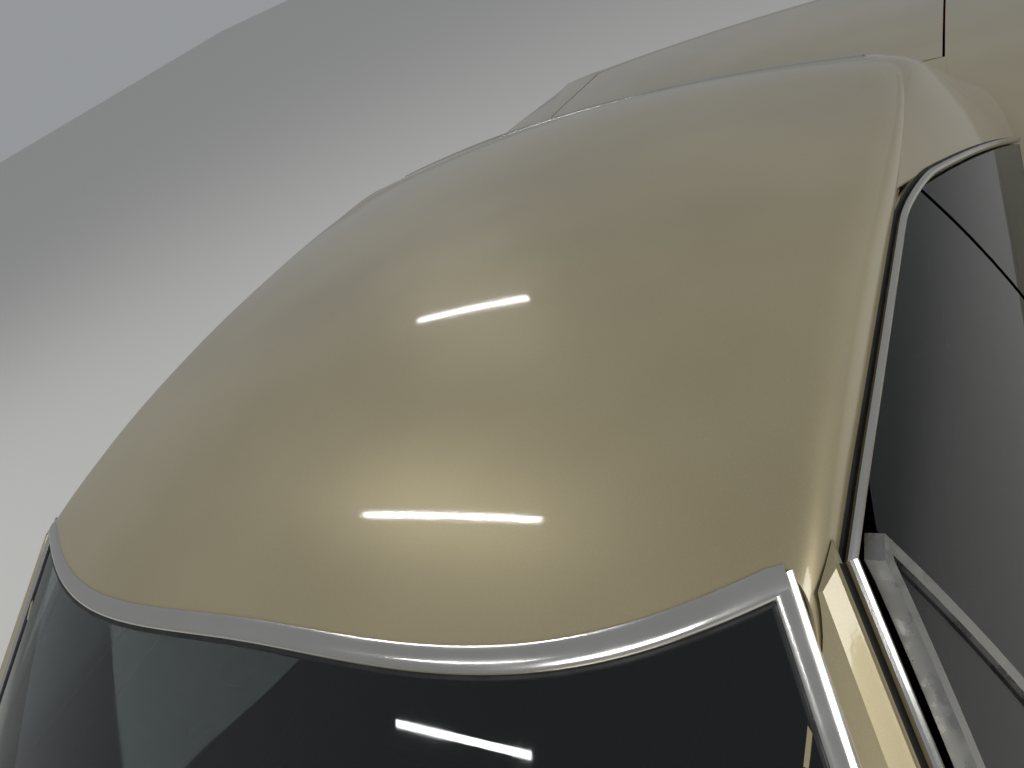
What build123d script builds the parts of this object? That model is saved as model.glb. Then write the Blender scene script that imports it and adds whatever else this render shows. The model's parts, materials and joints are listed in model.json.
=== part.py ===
from build123d import *
from collections import namedtuple
import math
import os

# A mid-1960s two-door hardtop muscle car: pillarless sides, front vent windows, wide sail panels and a
# notched trunk. Millimetres. +X is the car's left side, +Y points to its tail, +Z is up. The origin is
# on the ground, midway between the bumpers.

# Main sizes
WHEELBASE = 2920
FRONT_AXLE_Y = -1605
REAR_AXLE_Y = FRONT_AXLE_Y + WHEELBASE
TRACK = 1474
WHEEL_X = TRACK / 2
BUMPER_FRONT_Y = -2525
BUMPER_REAR_Y = 2525
NOSE_Y = -2440
TAIL_Y = 2430

# Walls and gaps
SKIN = 4
LID_THICK = 26
NOSE_DEEP = 98
TAIL_DEEP = 34
DOOR_GAP = 8
LID_GAP = 6
SEAT_GAP = 0.3
GLASS = 5

# Panel edges
DOOR_FRONT_Y = -985
DOOR_REAR_Y = 330
DOOR_BOTTOM_Z = 302
DOOR_INNER = [(840, DOOR_BOTTOM_Z), (836, 560), (762, 880)]
HOOD_HALF = 703
HOOD_REAR_Y = -1010
HOOD_REAR_BOW = 65
COWL_HALF = 795
DOOR_SLANT = 0.117
PILLAR_NOTCH_Y = -744
PILLAR_NOTCH_X = 812
VENT_FRAME_GROW = 6
LID_HALF = 646
LID_FRONT_Y = 1420
SILL_IN = 782
BODY_BOTTOM = 245
THICK_WALL_END_Y = 880

# Wheels, arches and wheelhouses
TYRE_R = 334
TYRE_HALF = 107
RIM_HALF = 95
RIM_R = 181
BORE_R = 20.5
SPINDLE_R = 20
SPINDLE_END = 50
DRUM_R = 125
HUB_Z = TYRE_R
FRONT_ARCH_R = 374
REAR_ARCH_R = 362
REAR_ARCH_DROP = 24
WELL_GROW = 26
FRONT_WELL_IN = 446
REAR_WELL_IN = 612
KINGPIN_X = 687
KNUCKLE_BOTTOM_Z = 225
KNUCKLE_TOP_Z = 455

# Floor and frame
FLOOR_Z = 264
KICK_UP_Z = 520
TRUNK_FLOOR_Z = 400
FIREWALL_Y = -995
FRAME_W = 60
FRAME_H = 80
FRONT_RAIL_X = 408
FRONT_RAIL_Z = 330
MID_RAIL_Z = 205
REAR_RAIL_X = 480
REAR_RAIL_Z = 455
CROSSMEMBER_TOP = FRONT_RAIL_Z - FRAME_H / 2 - SEAT_GAP

# Lower body: one row for each cross-section, nose to tail. Columns: y, then half width and height of the
# rocker edge, of the lower side, of the widest line and of the shoulder, then of the hood or deck edge,
# and last the height on the centre line.
Station = namedtuple(
    "Station", "y rocker_x rocker_z low_x low_z wide_x wide_z shoulder_x shoulder_z edge_x edge_z crown_z"
)
STATIONS = [
    Station(NOSE_Y, 800, 330, 852, 420, 905, 640, 866, 838, 690, 852, 866),
    Station(-2020, 838, 262, 892, 350, 934, 615, 890, 866, 698, 884, 914),
    Station(FRONT_AXLE_Y, 848, 246, 905, 335, 946, 605, 898, 884, 705, 908, 944),
    Station(-1000, 850, BODY_BOTTOM, 906, 335, 950, 600, 888, 902, 716, 930, 968),
    Station(-300, 850, BODY_BOTTOM, 904, 335, 948, 600, 882, 908, 720, 936, 972),
    Station(500, 850, BODY_BOTTOM, 902, 335, 947, 612, 886, 922, 700, 944, 972),
    Station(REAR_AXLE_Y, 848, 250, 905, 345, 957, 640, 902, 946, 668, 960, 976),
    Station(1950, 820, 300, 875, 390, 936, 650, 880, 918, 652, 930, 952),
    Station(TAIL_Y, 770, 380, 822, 450, 886, 650, 838, 872, 640, 884, 902),
]
SHOULDER_R = 36

# Roof: columns y, centre height, half width and height of the knee where the top turns down, then of
# the drip line.
RoofStation = namedtuple("RoofStation", "y crown_z knee_x knee_z drip_x drip_z")
ROOF = [
    RoofStation(-580, 1262, 530, 1240, 572, 1190),
    RoofStation(-400, 1307, 547, 1284, 592, 1240),
    RoofStation(-250, 1328, 554, 1299, 600, 1249),
    RoofStation(0, 1343, 562, 1308, 611, 1252),
    RoofStation(250, 1341, 566, 1302, 620, 1252),
    RoofStation(500, 1322, 562, 1283, 622, 1246),
    RoofStation(700, 1294, 550, 1257, 614, 1222),
    RoofStation(830, 1262, 530, 1222, 602, 1185),
    RoofStation(960, 1220, 505, 1176, 585, 1130),
]
ROOF_SKIN = 6
ROOF_THICK = 30
RAIL_DROP = 14

# Windshield and backlight: straight rulings between a bowed line at each of two heights. Columns: height,
# then half width and y of the line's end, y of its middle, and the power of its bow.
GlassLine = namedtuple("GlassLine", "z end_x end_y mid_y power")
WINDSHIELD = [GlassLine(900, 756, -868, -1080, 2.4), GlassLine(1400, 495, -227, -319, 3.4)]
BACKLIGHT = [GlassLine(900, 640, 1290, 1385, 2.2), GlassLine(1300, 530, 690, 756, 2.4)]

# Side glass: half width and height at its foot, middle and top, then each pane's outline as (y, z)
SIDE_GLASS = [(828, 835), (728, 1046), (600, 1236)]
VENT_PANE = [(-763, 915), (-333, 1200), (-326, 1203), (-412, 900)]
VENT_FRAME = [(-782, 900), (-780, 915), (-351, 1199), (-338, 1209), (-309.4, 1211), (-397.4, 900)]
DOOR_PANE = [(-407, 860), (-307, 1212), (-250, 1223), (0, 1231), (352, 1231), (303, 930), (284, 860)]
QUARTER_PANE = [
    (334, 860),
    (334, 925),
    (318, 938),
    (362, 1222),
    (384, 1209),
    (420, 1192),
    (514, 1150),
    (650, 1077),
    (800, 1000),
    (920, 936),
    (935, 915),
    (925, 860),
]

# Grille mouth and lamps
MOUTH_HALF = 862
MOUTH_Z = (566, 790)
GRILLE_HALF = 500
GRILLE_SLATS = 7
HEADLAMP_R = 74
HEADLAMP_Z = 678
LAMP_XS = (600, 770)
LAMP_X = (540, 800)
LAMP_Z = (655, 760)

# Bumpers: plan lines of the face and of the lips' back edge, left end to centre, and the side view of
# the brackets that hold them to the frame
FRONT_BUMPER_Z = (430, 556)
FRONT_BUMPER_FACE = [(943, -2190), (938, -2405), (918, -2458), (700, -2500), (0, BUMPER_FRONT_Y)]
FRONT_BUMPER_BACK = [(927, -2190), (921, -2400), (903, -2448), (690, -2468), (0, -2490)]
FRONT_BRACKET = [(-2330, 348), (-2330, 500), (-2508, 500), (-2508, 455), (-2370, 455), (-2370, 348)]
REAR_BUMPER_Z = (440, 590)
REAR_BUMPER_FACE = [(930, 2190), (922, 2390), (892, 2444), (700, 2498), (0, BUMPER_REAR_Y)]
REAR_BUMPER_BACK = [(911, 2190), (903, 2386), (879, 2440), (690, 2466), (0, 2490)]
REAR_BRACKET = [(2380, 300), (2394, 300), (2394, 455), (2503.5, 455), (2503.5, 500), (2380, 500)]

# Underbody lines, each as (y, z) seen from the side or (x, y) in plan
FLOOR_LINE = [
    (FIREWALL_Y, 900),
    (FIREWALL_Y, 470),
    (-860, FLOOR_Z),
    (880, FLOOR_Z),
    (950, KICK_UP_Z),
    (1660, KICK_UP_Z),
    (1740, TRUNK_FLOOR_Z),
    (2374, TRUNK_FLOOR_Z),
]
SHELF_LINE = [(958, KICK_UP_Z + 4), (1075, 880), (1262, 902), (1268, 936)]
RAIL_PLAN = [(408, -2330), (408, -1180), (692, -930), (692, 700), (560, 900), (480, 1100), (480, 2380)]
RAIL_SIDE = [
    (-2330, FRONT_RAIL_Z),
    (-1180, FRONT_RAIL_Z),
    (-930, MID_RAIL_Z),
    (930, MID_RAIL_Z),
    (1110, REAR_RAIL_Z),
    (1600, REAR_RAIL_Z),
    (1760, FRONT_RAIL_Z),
    (2380, FRONT_RAIL_Z),
]
FRONT_MEMBER_Z = (MID_RAIL_Z + 18, MID_RAIL_Z + 40)
MIDDLE_MEMBER_Z = (MID_RAIL_Z + 35, HUB_Z - 36)
END_MEMBER_Z = (FRONT_RAIL_Z - 30, FRONT_RAIL_Z + 30)
EXHAUST_LINE = [(296, -1260, 330), (300, -1050, 190), (305, 900, 190), (305, 1900, 196), (330, 2480, 250)]
HINGE_ZS = (460, 730)
ARM_FRONT_Y = 940
BRACKET_HALF = 18
BRACKET_Z = (455, 500)
POST_IN = HOOD_HALF + 8
POST_OUT = 880
COWL_REAR_Y = -790
RIM_SLOTS = 5
PLATE_Z = 690
PLATE_HOLES = (178, 121)
PLATE_HOLE_R = 3
DASH_HALF = 686

# Windshield pillar: corners of its foot and of its head as offsets from the windshield's edge, in plan
PILLAR = {
    908: [(3, 3), (34, 3), (50, 32), (44, 58), (8, 50)],
    1256: [(2, 2), (20, 4), (28, 28), (22, 60), (4, 52)],
}

# Sail panels: plan points at each height, as outer front, outer middle, tail, inner rear and inner front
SAIL = {
    890: [(826, 1015), (812, 1290), (694, 1640), (638, 1318), (792, 1020)],
    1000: [(760, 806), (752, 1110), (664, 1420), (606, 1152), (726, 812)],
    1085: [(709, 652), (704, 950), (634, 1230), (583, 1024), (676, 660)],
    1150: [(668, 520), (664, 800), (608, 1080), (565, 927), (636, 528)],
    1240: [(618, 395), (616, 640), (574, 905), (540, 792), (584, 405)],
    1262: [(600, 370), (596, 600), (560, 850), (534, 759), (570, 380)],
}


def box(x0, x1, y0, y1, z0, z1):
    """A box between two corners."""
    return Pos((x0 + x1) / 2, (y0 + y1) / 2, (z0 + z1) / 2) * Box(x1 - x0, y1 - y0, z1 - z0)


def plan_prism(points, z0, z1):
    """A prism on a plan polygon of (x, y) points."""
    face = Face(Wire(Polyline([(x, y, z0) for x, y in points], close=True).edges()))
    return extrude(face, z1 - z0, dir=(0, 0, 1))


def side_prism(points, x0, x1):
    """A prism along X on a polygon of (y, z) points."""
    face = Face(Wire(Polyline([(x0, y, z) for y, z in points], close=True).edges()))
    return extrude(face, x1 - x0, dir=(1, 0, 0))


def front_prism(points, y0, y1):
    """A prism along Y on a polygon of (x, z) points."""
    face = Face(Wire(Polyline([(x, y0, z) for x, z in points], close=True).edges()))
    return extrude(face, y1 - y0, dir=(0, 1, 0))


def rod_x(radius, x0, x1, y, z):
    """A round bar along X."""
    return Pos((x0 + x1) / 2, y, z) * Rot(0, 90, 0) * Cylinder(radius, x1 - x0)


def rod_y(radius, y0, y1, x, z):
    """A round bar along Y."""
    return Pos(x, (y0 + y1) / 2, z) * Rot(90, 0, 0) * Cylinder(radius, y1 - y0)


def mirrored(shape):
    """The same shape on the car's right side."""
    return mirror(shape, about=Plane.YZ)


def pair(shape):
    """A left-hand piece and its mirror image as separate solids."""
    return Compound(children=[*shape.solids(), *mirrored(shape).solids()])


def strip(points, width):
    """Outline of a band of even width on both sides of an open polyline."""
    pts = [Vector(*p) for p in points]
    sides = ([], [])
    for i, p in enumerate(pts):
        back = (p - pts[i - 1]).normalized() if i else (pts[1] - p).normalized()
        ahead = (pts[i + 1] - p).normalized() if i < len(pts) - 1 else back
        bisector = (back + ahead).normalized()
        normal = Vector(-bisector.Y, bisector.X)
        reach = width / 2 / max(0.3, bisector.dot(back))
        sides[0].append(((p + normal * reach).X, (p + normal * reach).Y))
        sides[1].append(((p - normal * reach).X, (p - normal * reach).Y))
    return sides[0] + sides[1][::-1]


def closed_section(runs, y):
    """A closed wire at a station from runs of two points (a line) or three (an arc)."""
    edges = []
    for run in runs:
        pts = [(x, y, z) for x, z in run]
        edges.append(Line(*pts) if len(pts) == 2 else ThreePointArc(*pts))
    return Wire(edges)


def body_section(s, inset):
    """The lower body's outline at a station, moved inwards by inset."""
    rocker = (s.rocker_x - inset, s.rocker_z + inset)
    low = (s.low_x - inset, s.low_z)
    wide = (s.wide_x - inset, s.wide_z)
    edge = (s.edge_x - inset, s.edge_z - inset)
    top_x, top_z = s.shoulder_x - inset, s.shoulder_z - inset
    side_top = (top_x, top_z - SHOULDER_R)
    turn = (top_x - 0.27 * SHOULDER_R, top_z - 0.27 * SHOULDER_R)
    deck = (top_x - SHOULDER_R, top_z)
    crown = ((deck[0] + edge[0]) / 2, (deck[1] + edge[1]) / 2 + 3)
    left = [[rocker, low], [low, wide, side_top], [side_top, turn, deck], [deck, crown, edge]]
    right = [[(-x, z) for x, z in run[::-1]] for run in left[::-1]]
    across = [edge, (0, s.crown_z - inset), (-edge[0], edge[1])]
    under = [(-rocker[0], rocker[1]), rocker]
    return closed_section([*left, across, *right, under], s.y)


def body_loft(inset=0.0):
    """The filled lower body, nose to tail."""
    return Solid.make_loft([body_section(s, inset) for s in STATIONS])


def roll_middle(knee, crown_z, drip):
    """Middle of the arc that leaves the roof's top line at the knee, in its direction, and ends at the drip."""
    sagitta = crown_z - knee[1]
    top_slope = 2 * math.atan(sagitta / knee[0])
    across, down = drip[0] - knee[0], knee[1] - drip[1]
    half_turn = (math.atan2(down, across) - top_slope) / 2
    rise = math.tan(half_turn) / 2
    return (knee[0] + across / 2 + down * rise, knee[1] - down / 2 + across * rise)


def roof_section(s, inset, drop):
    """The roof's outline at a station, with its foot below the drip line."""
    knee = (s.knee_x - inset, s.knee_z - inset)
    drip = (s.drip_x - inset, s.drip_z)
    foot = (drip[0], s.drip_z - drop)
    left = [[foot, drip], [drip, roll_middle(knee, s.crown_z - inset, drip), knee]]
    right = [[(-x, z) for x, z in run[::-1]] for run in left[::-1]]
    across = [knee, (0, s.crown_z - inset), (-knee[0], knee[1])]
    return closed_section([*left, across, *right, [(-foot[0], foot[1]), foot]], s.y)


def roof_loft(inset=0.0, drop=RAIL_DROP):
    return Solid.make_loft([roof_section(s, inset, drop) for s in ROOF])


def glass_sheet(lines, front, back):
    """A sheet on a ruled glass surface, between two distances to the rear of it."""
    wires = []
    for g in lines:
        def bowed(shift):
            points = []
            for i in range(-5, 6):
                t = math.sin(i / 5 * math.pi / 2)
                y = g.mid_y + (g.end_y - g.mid_y) * abs(t) ** g.power
                points.append((t * g.end_x, y + shift, g.z))
            return points
        ahead = Spline(*bowed(front))
        behind = Spline(*bowed(back)[::-1])
        wires.append(Wire([ahead, Line(ahead @ 1, behind @ 0), behind, Line(behind @ 1, ahead @ 0)]))
    return Solid.make_loft(wires, ruled=True)


def glass_end(lines, z):
    """Half width and y of a glass surface's end at a height."""
    low, high = lines
    t = (z - low.z) / (high.z - low.z)
    return low.end_x + t * (high.end_x - low.end_x), low.end_y + t * (high.end_y - low.end_y)


def side_glass(y0, y1, grow=0.0):
    """The curved side-glass sheet between two stations, thickened by grow on each face."""
    outer = [(x + grow, z) for x, z in SIDE_GLASS]
    inner = [(x - GLASS - grow, z) for x, z in SIDE_GLASS[::-1]]
    runs = [outer, [outer[-1], inner[0]], inner, [inner[-1], outer[0]]]
    return extrude(Face(closed_section(runs, y0)), y1 - y0, dir=(0, 1, 0))


def pane(outline, grow=0.0):
    """One side pane: the side-glass sheet inside an outline seen from the side."""
    ys = [y for y, _ in outline]
    return side_glass(min(ys) - 5, max(ys) + 5, grow) & side_prism(outline, 500, 900)


def arch_cutter(y, z, radius, x_in):
    return rod_x(radius, x_in, 1100, y, z)


def lid_plan(half, front_y, rear_y, front_bow=0.0, rear_bow=0.0, z0=800, z1=1050):
    """A prism on a lid's plan outline; a bow moves the middle of an edge forward."""
    front = ThreePointArc((-half, front_y, z0), (0, front_y - front_bow - 0.01, z0), (half, front_y, z0))
    rear = ThreePointArc((half, rear_y, z0), (0, rear_y - rear_bow - 0.01, z0), (-half, rear_y, z0))
    edges = [front, Line(front @ 1, rear @ 0), rear, Line(rear @ 1, front @ 0)]
    return extrude(Face(Wire(edges)), z1 - z0, dir=(0, 0, 1))


def skin_zone(inner_x, y0, y1):
    """Where a fender or quarter skin lies: its side, its top and a flange under it."""
    outline = [(inner_x, 700), (inner_x, 1100), (1100, 1100), (1100, 150), (SILL_IN, 150), (SILL_IN, 700)]
    return front_prism(outline, y0, y1)


def wall_zone(y0, y1):
    """Where a door or a whole side wall lies, from its inner face outwards."""
    top = [(DOOR_INNER[-1][0], 1100), (1100, 1100), (1100, DOOR_BOTTOM_Z)]
    return front_prism([*DOOR_INNER, *top], y0, y1)


def make_hood(lid_shell):
    return lid_shell & lid_plan(HOOD_HALF, NOSE_Y + NOSE_DEEP + LID_GAP, HOOD_REAR_Y, 0, HOOD_REAR_BOW)


def make_trunk_lid(lid_shell):
    return lid_shell & lid_plan(LID_HALF, LID_FRONT_Y, TAIL_Y - TAIL_DEEP - LID_GAP)


def make_fender(shell):
    y0, y1 = NOSE_Y + NOSE_DEEP, DOOR_FRONT_Y - DOOR_GAP
    fender = shell & skin_zone(HOOD_HALF + LID_GAP, y0, y1)
    return fender - arch_cutter(FRONT_AXLE_Y, HUB_Z, FRONT_ARCH_R, 600)


def door_edge(offset):
    """The plan zone ahead of the door's slanted rear face, moved back by offset."""
    slant = DOOR_SLANT * (1100 - 600)
    y = DOOR_REAR_Y + offset + DOOR_SLANT * (1100 - 950)
    return plan_prism([(600, DOOR_FRONT_Y), (1100, DOOR_FRONT_Y), (1100, y), (600, y - slant)], 150, 1100)


def make_quarter(outer, shell):
    """The side behind the door: a whole trimmed wall beside the seat, then sheet over the wheel."""
    y0, y1 = DOOR_REAR_Y + DOOR_GAP, TAIL_Y - TAIL_DEEP
    wall = outer & wall_zone(y0 - 60, THICK_WALL_END_Y)
    wall -= door_edge(DOOR_GAP)
    skin = shell & skin_zone(LID_HALF + LID_GAP, THICK_WALL_END_Y, y1)
    front_skin = shell & skin_zone(DOOR_INNER[-1][0], y0, THICK_WALL_END_Y)
    quarter = (wall + front_skin) + skin
    quarter -= pane(QUARTER_PANE, SEAT_GAP)
    return quarter - arch_cutter(REAR_AXLE_Y, HUB_Z - REAR_ARCH_DROP, REAR_ARCH_R, 600)


def make_door(outer):
    door = outer & wall_zone(DOOR_FRONT_Y, DOOR_REAR_Y + 20) & door_edge(0)
    door -= box(700, PILLAR_NOTCH_X, DOOR_FRONT_Y - 5, PILLAR_NOTCH_Y, 780, 1000)
    door -= pane(DOOR_PANE, SEAT_GAP)
    return door - pane(VENT_FRAME, VENT_FRAME_GROW + SEAT_GAP)


def make_vent_frame():
    """The channel round the vent pane, open at its foot."""
    foot_z = VENT_FRAME[0][1] - 20
    hole = [(VENT_PANE[0][0], foot_z), *VENT_PANE, (VENT_PANE[-1][0] - 6, foot_z)]
    outline = side_prism(VENT_FRAME, 500, 900) - side_prism(hole, 490, 910)
    ys = [y for y, _ in VENT_FRAME]
    return side_glass(min(ys) - 5, max(ys) + 5, VENT_FRAME_GROW) & outline


def make_sails(outer, lid_shell, roof_filled):
    """One sail panel, and the deck panel behind the backlight."""
    wires = []
    for z, points in SAIL.items():
        front, middle, tail, inner_rear, inner_front = [(x, y, z) for x, y in points]
        side = Spline(front, middle, tail)
        wires.append(Wire([side, *Polyline(tail, inner_rear, inner_front, front).edges()]))
    sail = Solid.make_loft(wires) - outer - roof_filled
    sail -= glass_sheet(BACKLIGHT, -GLASS, 0)
    sail -= pane(QUARTER_PANE)
    deck = lid_shell & box(-LID_HALF - LID_GAP, LID_HALF + LID_GAP, 1270, LID_FRONT_Y - LID_GAP, 800, 1050)
    deck -= glass_sheet(BACKLIGHT, -600, 0)
    return largest(sail), deck


def make_pillar():
    wires = []
    for z, offsets in PILLAR.items():
        x, y = glass_end(WINDSHIELD, z)
        wires.append(Wire(Polyline([(x + dx, y + dy, z) for dx, dy in offsets], close=True).edges()))
    return Solid.make_loft(wires, ruled=True)


def make_roof(roof_filled, roof_core):
    """The roof: a skin that laps over both glasses, and under it the headers behind and ahead of them."""
    roof = roof_filled - roof_loft(ROOF_THICK, 60)
    roof -= glass_sheet(WINDSHIELD, -700, -3)
    roof -= glass_sheet(BACKLIGHT, 3, 700)
    roof -= roof_core & glass_sheet(WINDSHIELD, -60, GLASS + SEAT_GAP)
    roof -= roof_core & glass_sheet(BACKLIGHT, -GLASS - SEAT_GAP, 60)
    low, high = WINDSHIELD
    corner = side_prism([(low.end_y, low.z), (high.end_y, high.z), (-1000, high.z), (-1000, low.z)], 560, 800)
    roof -= corner
    return largest(roof - mirrored(corner))


def largest(shape):
    return shape.solids().sort_by(SortBy.VOLUME)[-1]


def lowest(shape):
    """The lowest of a shape's solids."""
    return shape.solids().sort_by(Axis.Z)[0]


def make_cowl(outer, inner, lid_shell, roof_filled):
    """The cowl panel with the hinge posts under its ends and the windshield pillars on top."""
    fender_end = DOOR_FRONT_Y - DOOR_GAP
    top = lid_plan(HOOD_HALF, HOOD_REAR_Y + LID_GAP, COWL_REAR_Y, HOOD_REAR_BOW)
    top += box(-COWL_HALF, COWL_HALF, fender_end + LID_GAP, COWL_REAR_Y, 800, 1050)
    cowl = (lid_shell & top) - glass_sheet(WINDSHIELD, 0, 700)
    post = inner & box(POST_IN, POST_OUT, fender_end - 47, fender_end, FLOOR_Z, 1000)
    for z in HINGE_ZS:
        post += box(800, 868, fender_end - 5, DOOR_FRONT_Y - SEAT_GAP, z - 30, z + 30)
    brace = inner & box(POST_IN, COWL_HALF, fender_end - 5, DOOR_FRONT_Y + 30, 860, 1000)
    half = post + brace + (make_pillar() - roof_filled)
    return cowl + half + mirrored(half)


def bracket_slot(x, y0, y1):
    """The hole that a bumper bracket passes through."""
    reach = BRACKET_HALF + 3
    return box(x - reach, x + reach, y0, y1, BRACKET_Z[0] - 4, BRACKET_Z[1] + 4)


def make_nose(outer, inner):
    """The painted front panel, with the mouth for the grille and lamps cut through."""
    y1 = NOSE_Y + NOSE_DEEP
    nose = outer & box(-1000, 1000, NOSE_Y, y1, 0, 1100)
    nose -= inner & box(-1000, 1000, NOSE_Y + 24, y1, 0, 1100)
    nose -= box(-MOUTH_HALF, MOUTH_HALF, NOSE_Y - 5, y1 + 5, *MOUTH_Z)
    slot = bracket_slot(FRONT_RAIL_X, NOSE_Y - 5, NOSE_Y + 40)
    return nose - slot - mirrored(slot)


def make_tail(outer, lid_seat):
    """The painted rear panel, with pockets for the lamps and the ledge that the trunk lid shuts on."""
    y0 = TAIL_Y - TAIL_DEEP
    tail = outer & box(-1000, 1000, y0, TAIL_Y, 0, 1100)
    tail += lid_seat & box(-600, 600, y0 - 18, y0 + 2, 800, 1050)
    pocket = box(*LAMP_X, y0 - 5, TAIL_Y + 5, *LAMP_Z)
    pocket += bracket_slot(REAR_RAIL_X, y0 - 5, TAIL_Y + 5)
    for dz in (-PLATE_HOLES[1] / 2, PLATE_HOLES[1] / 2):
        pocket += rod_y(PLATE_HOLE_R, y0 - 5, TAIL_Y + 5, PLATE_HOLES[0] / 2, PLATE_Z + dz)
    return tail - pocket - mirrored(pocket)


def make_tail_lamps():
    y0 = TAIL_Y - TAIL_DEEP
    lamp = box(*LAMP_X, y0, TAIL_Y - 4, *LAMP_Z) + fillet(
        box(LAMP_X[0] + 8, LAMP_X[1] - 8, y0, TAIL_Y + 12, LAMP_Z[0] + 8, LAMP_Z[1] - 8).edges().group_by(Axis.Y)[-1], 10
    )
    return pair(lamp)


def make_grille():
    """Grille and lamp bezels: one plate in the mouth, with slats across the middle."""
    y0, y1 = NOSE_Y + 10, NOSE_Y + 24
    z0, z1 = MOUTH_Z
    plate = box(-MOUTH_HALF, MOUTH_HALF, y0, y1, z0, z1)
    plate -= box(-GRILLE_HALF, GRILLE_HALF, y0 - 5, y1 + 5, z0 + 14, z1 - 14)
    for x in LAMP_XS:
        for side in (-x, x):
            plate -= rod_y(HEADLAMP_R + SEAT_GAP, y0 - 5, y1 + 5, side, HEADLAMP_Z)
    pitch = (z1 - z0 - 28) / (GRILLE_SLATS + 1)
    for i in range(GRILLE_SLATS):
        z = z0 + 14 + pitch * (i + 1)
        plate += box(-GRILLE_HALF - 2, GRILLE_HALF + 2, y0 - 4, y1, z - 2.5, z + 2.5)
    return plate + box(-9, 9, y0 - 6, y1, z0 + 10, z1 - 10)


def make_headlamps():
    """Four sealed-beam lamps, each a domed lens on a stepped bowl."""
    front, rim, back = NOSE_Y - 6, NOSE_Y + 8, NOSE_Y + 70
    r = HEADLAMP_R
    lens = ThreePointArc((0, front, 0), (r * 0.55, front + 4, 0), (r, rim, 0))
    sides = Polyline((r, rim, 0), (r, back - 30, 0), (r * 0.4, back, 0), (0, back, 0), (0, front, 0))
    lamp = revolve(Face(Wire([lens, *sides.edges()])), Axis.Y)
    return Compound(children=[Pos(x * s, 0, HEADLAMP_Z) * lamp for x in LAMP_XS for s in (-1, 1)])


def bumper_plan(points, z0, z1):
    """A prism on a closed plan outline mirrored about the centre line."""
    whole = [*points, *[(-x, y) for x, y in points[::-1]]]
    return plan_prism(whole, z0, z1)


def make_bumper(face, back, z0, z1, bracket, rail_x):
    """A pressed channel bumper: face and back are its plan lines, left end to centre."""
    def ring(outer, inner, low, high):
        run = [*outer, *[(-x, y) for x, y in outer[::-1][1:]]]
        home = [*inner, *[(-x, y) for x, y in inner[::-1][1:]]]
        return plan_prism(run + home[::-1], low, high)
    sign = 1 if face[-1][1] < 0 else -1
    wall = 5
    hollow_face = [(x - wall, y + sign * wall * (i > 0)) for i, (x, y) in enumerate(face[:-1])]
    hollow_face.append((0, face[-1][1] + sign * wall))
    hollow_back = [(x - 40, y + sign * 60 * (i > 0)) for i, (x, y) in enumerate(back[:-1])]
    hollow_back.append((0, back[-1][1] + sign * 60))
    bumper = ring(face, back, z0, z1) - ring(hollow_face, hollow_back, z0 + wall, z1 - wall)
    arm = side_prism(bracket, rail_x - BRACKET_HALF, rail_x + BRACKET_HALF)
    return bumper + arm + mirrored(arm)


def make_floor(outer, inner):
    """Floor, toe board, rear shelf and trunk floor in one sheet, joined to the box-section sills."""
    profile = strip(FLOOR_LINE, SKIN)
    wide = [(705, -1000), (705, -960), (SILL_IN + 4, -900), (SILL_IN + 4, 921), (REAR_WELL_IN - 4, 921)]
    well_end = REAR_AXLE_Y + REAR_ARCH_R + WELL_GROW + SKIN + 5
    wide += [(REAR_WELL_IN - 4, well_end), (930, well_end), (930, TAIL_Y - TAIL_DEEP)]
    plan = bumper_plan(wide, 200, 1000)
    pan = side_prism(profile, -930, 930) & plan & inner
    tunnel = box(-134, 134, -990, 885, FLOOR_Z - 2, 450) - box(-130, 130, -1000, 900, 200, 446)
    pan = pan - box(-130, 130, -985, 945, FLOOR_Z - 20, 446)
    pan += tunnel & side_prism([(-992, 460), (-992, 440), (-860, 262), (882, 262), (925, 452)], -200, 200)
    fender_end, quarter_start = DOOR_FRONT_Y - DOOR_GAP, DOOR_REAR_Y + DOOR_GAP
    sill = outer & box(SILL_IN, 1000, fender_end, quarter_start, 150, DOOR_BOTTOM_Z - DOOR_GAP)
    sill += inner & box(SILL_IN, 1000, quarter_start, THICK_WALL_END_Y, 150, DOOR_BOTTOM_Z)
    return pan + sill + mirrored(sill)


def make_wheelhouses(inner):
    """A half drum over each wheel, closed on its inner side and cut to the outer skin."""
    solids = []
    for y, z, radius, x_in, wall_z in (
        (FRONT_AXLE_Y, HUB_Z, FRONT_ARCH_R + WELL_GROW, FRONT_WELL_IN, FLOOR_Z),
        (REAR_AXLE_Y, HUB_Z - REAR_ARCH_DROP, REAR_ARCH_R + WELL_GROW, REAR_WELL_IN, 420),
    ):
        drum = rod_x(radius + SKIN, x_in - SKIN, 1000, y, z) - rod_x(radius, x_in, 1001, y, z)
        drum -= box(0, x_in + 0.1, y - 500, y + 500, 0, wall_z)
        drum -= box(0, 1100, y - 500, y + 500, 0, FLOOR_Z)
        drum -= box(0, 600, y - 86, y + 86, 0, 530)
        solids.append(max((drum & inner).solids(), key=lambda s: s.volume))
    return pair(Compound(children=solids))


def make_frame():
    """Perimeter frame: two rails that step in and up at the wheels, and cross members."""
    rail = plan_prism(strip(RAIL_PLAN, FRAME_W), 0, 700) & side_prism(strip(RAIL_SIDE, FRAME_H), 300, 800)
    frame = rail + mirrored(rail)
    frame += box(-400, 400, -2330, -2270, *END_MEMBER_Z)
    frame += box(-690, 690, -640, -560, *FRONT_MEMBER_Z)
    frame += box(-550, 550, 900, ARM_FRONT_Y, *MIDDLE_MEMBER_Z)
    frame += box(-470, 470, 1110, 1170, REAR_RAIL_Z - 35, REAR_RAIL_Z + 30)
    frame += box(-470, 470, 2320, 2380, *END_MEMBER_Z)
    for x in (-692, 692):
        for y in (-700, 0, 560):
            top = FLOOR_Z - SKIN / 2 - SEAT_GAP
            frame += Pos(x, y, (MID_RAIL_Z + top) / 2) * Cylinder(32, top - MID_RAIL_Z)
    for x in (-REAR_RAIL_X, REAR_RAIL_X):
        top = TRUNK_FLOOR_Z - SKIN / 2 - SEAT_GAP
        frame += Pos(x, 2240, (FRONT_RAIL_Z + top) / 2) * Cylinder(28, top - FRONT_RAIL_Z)
    return frame


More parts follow.
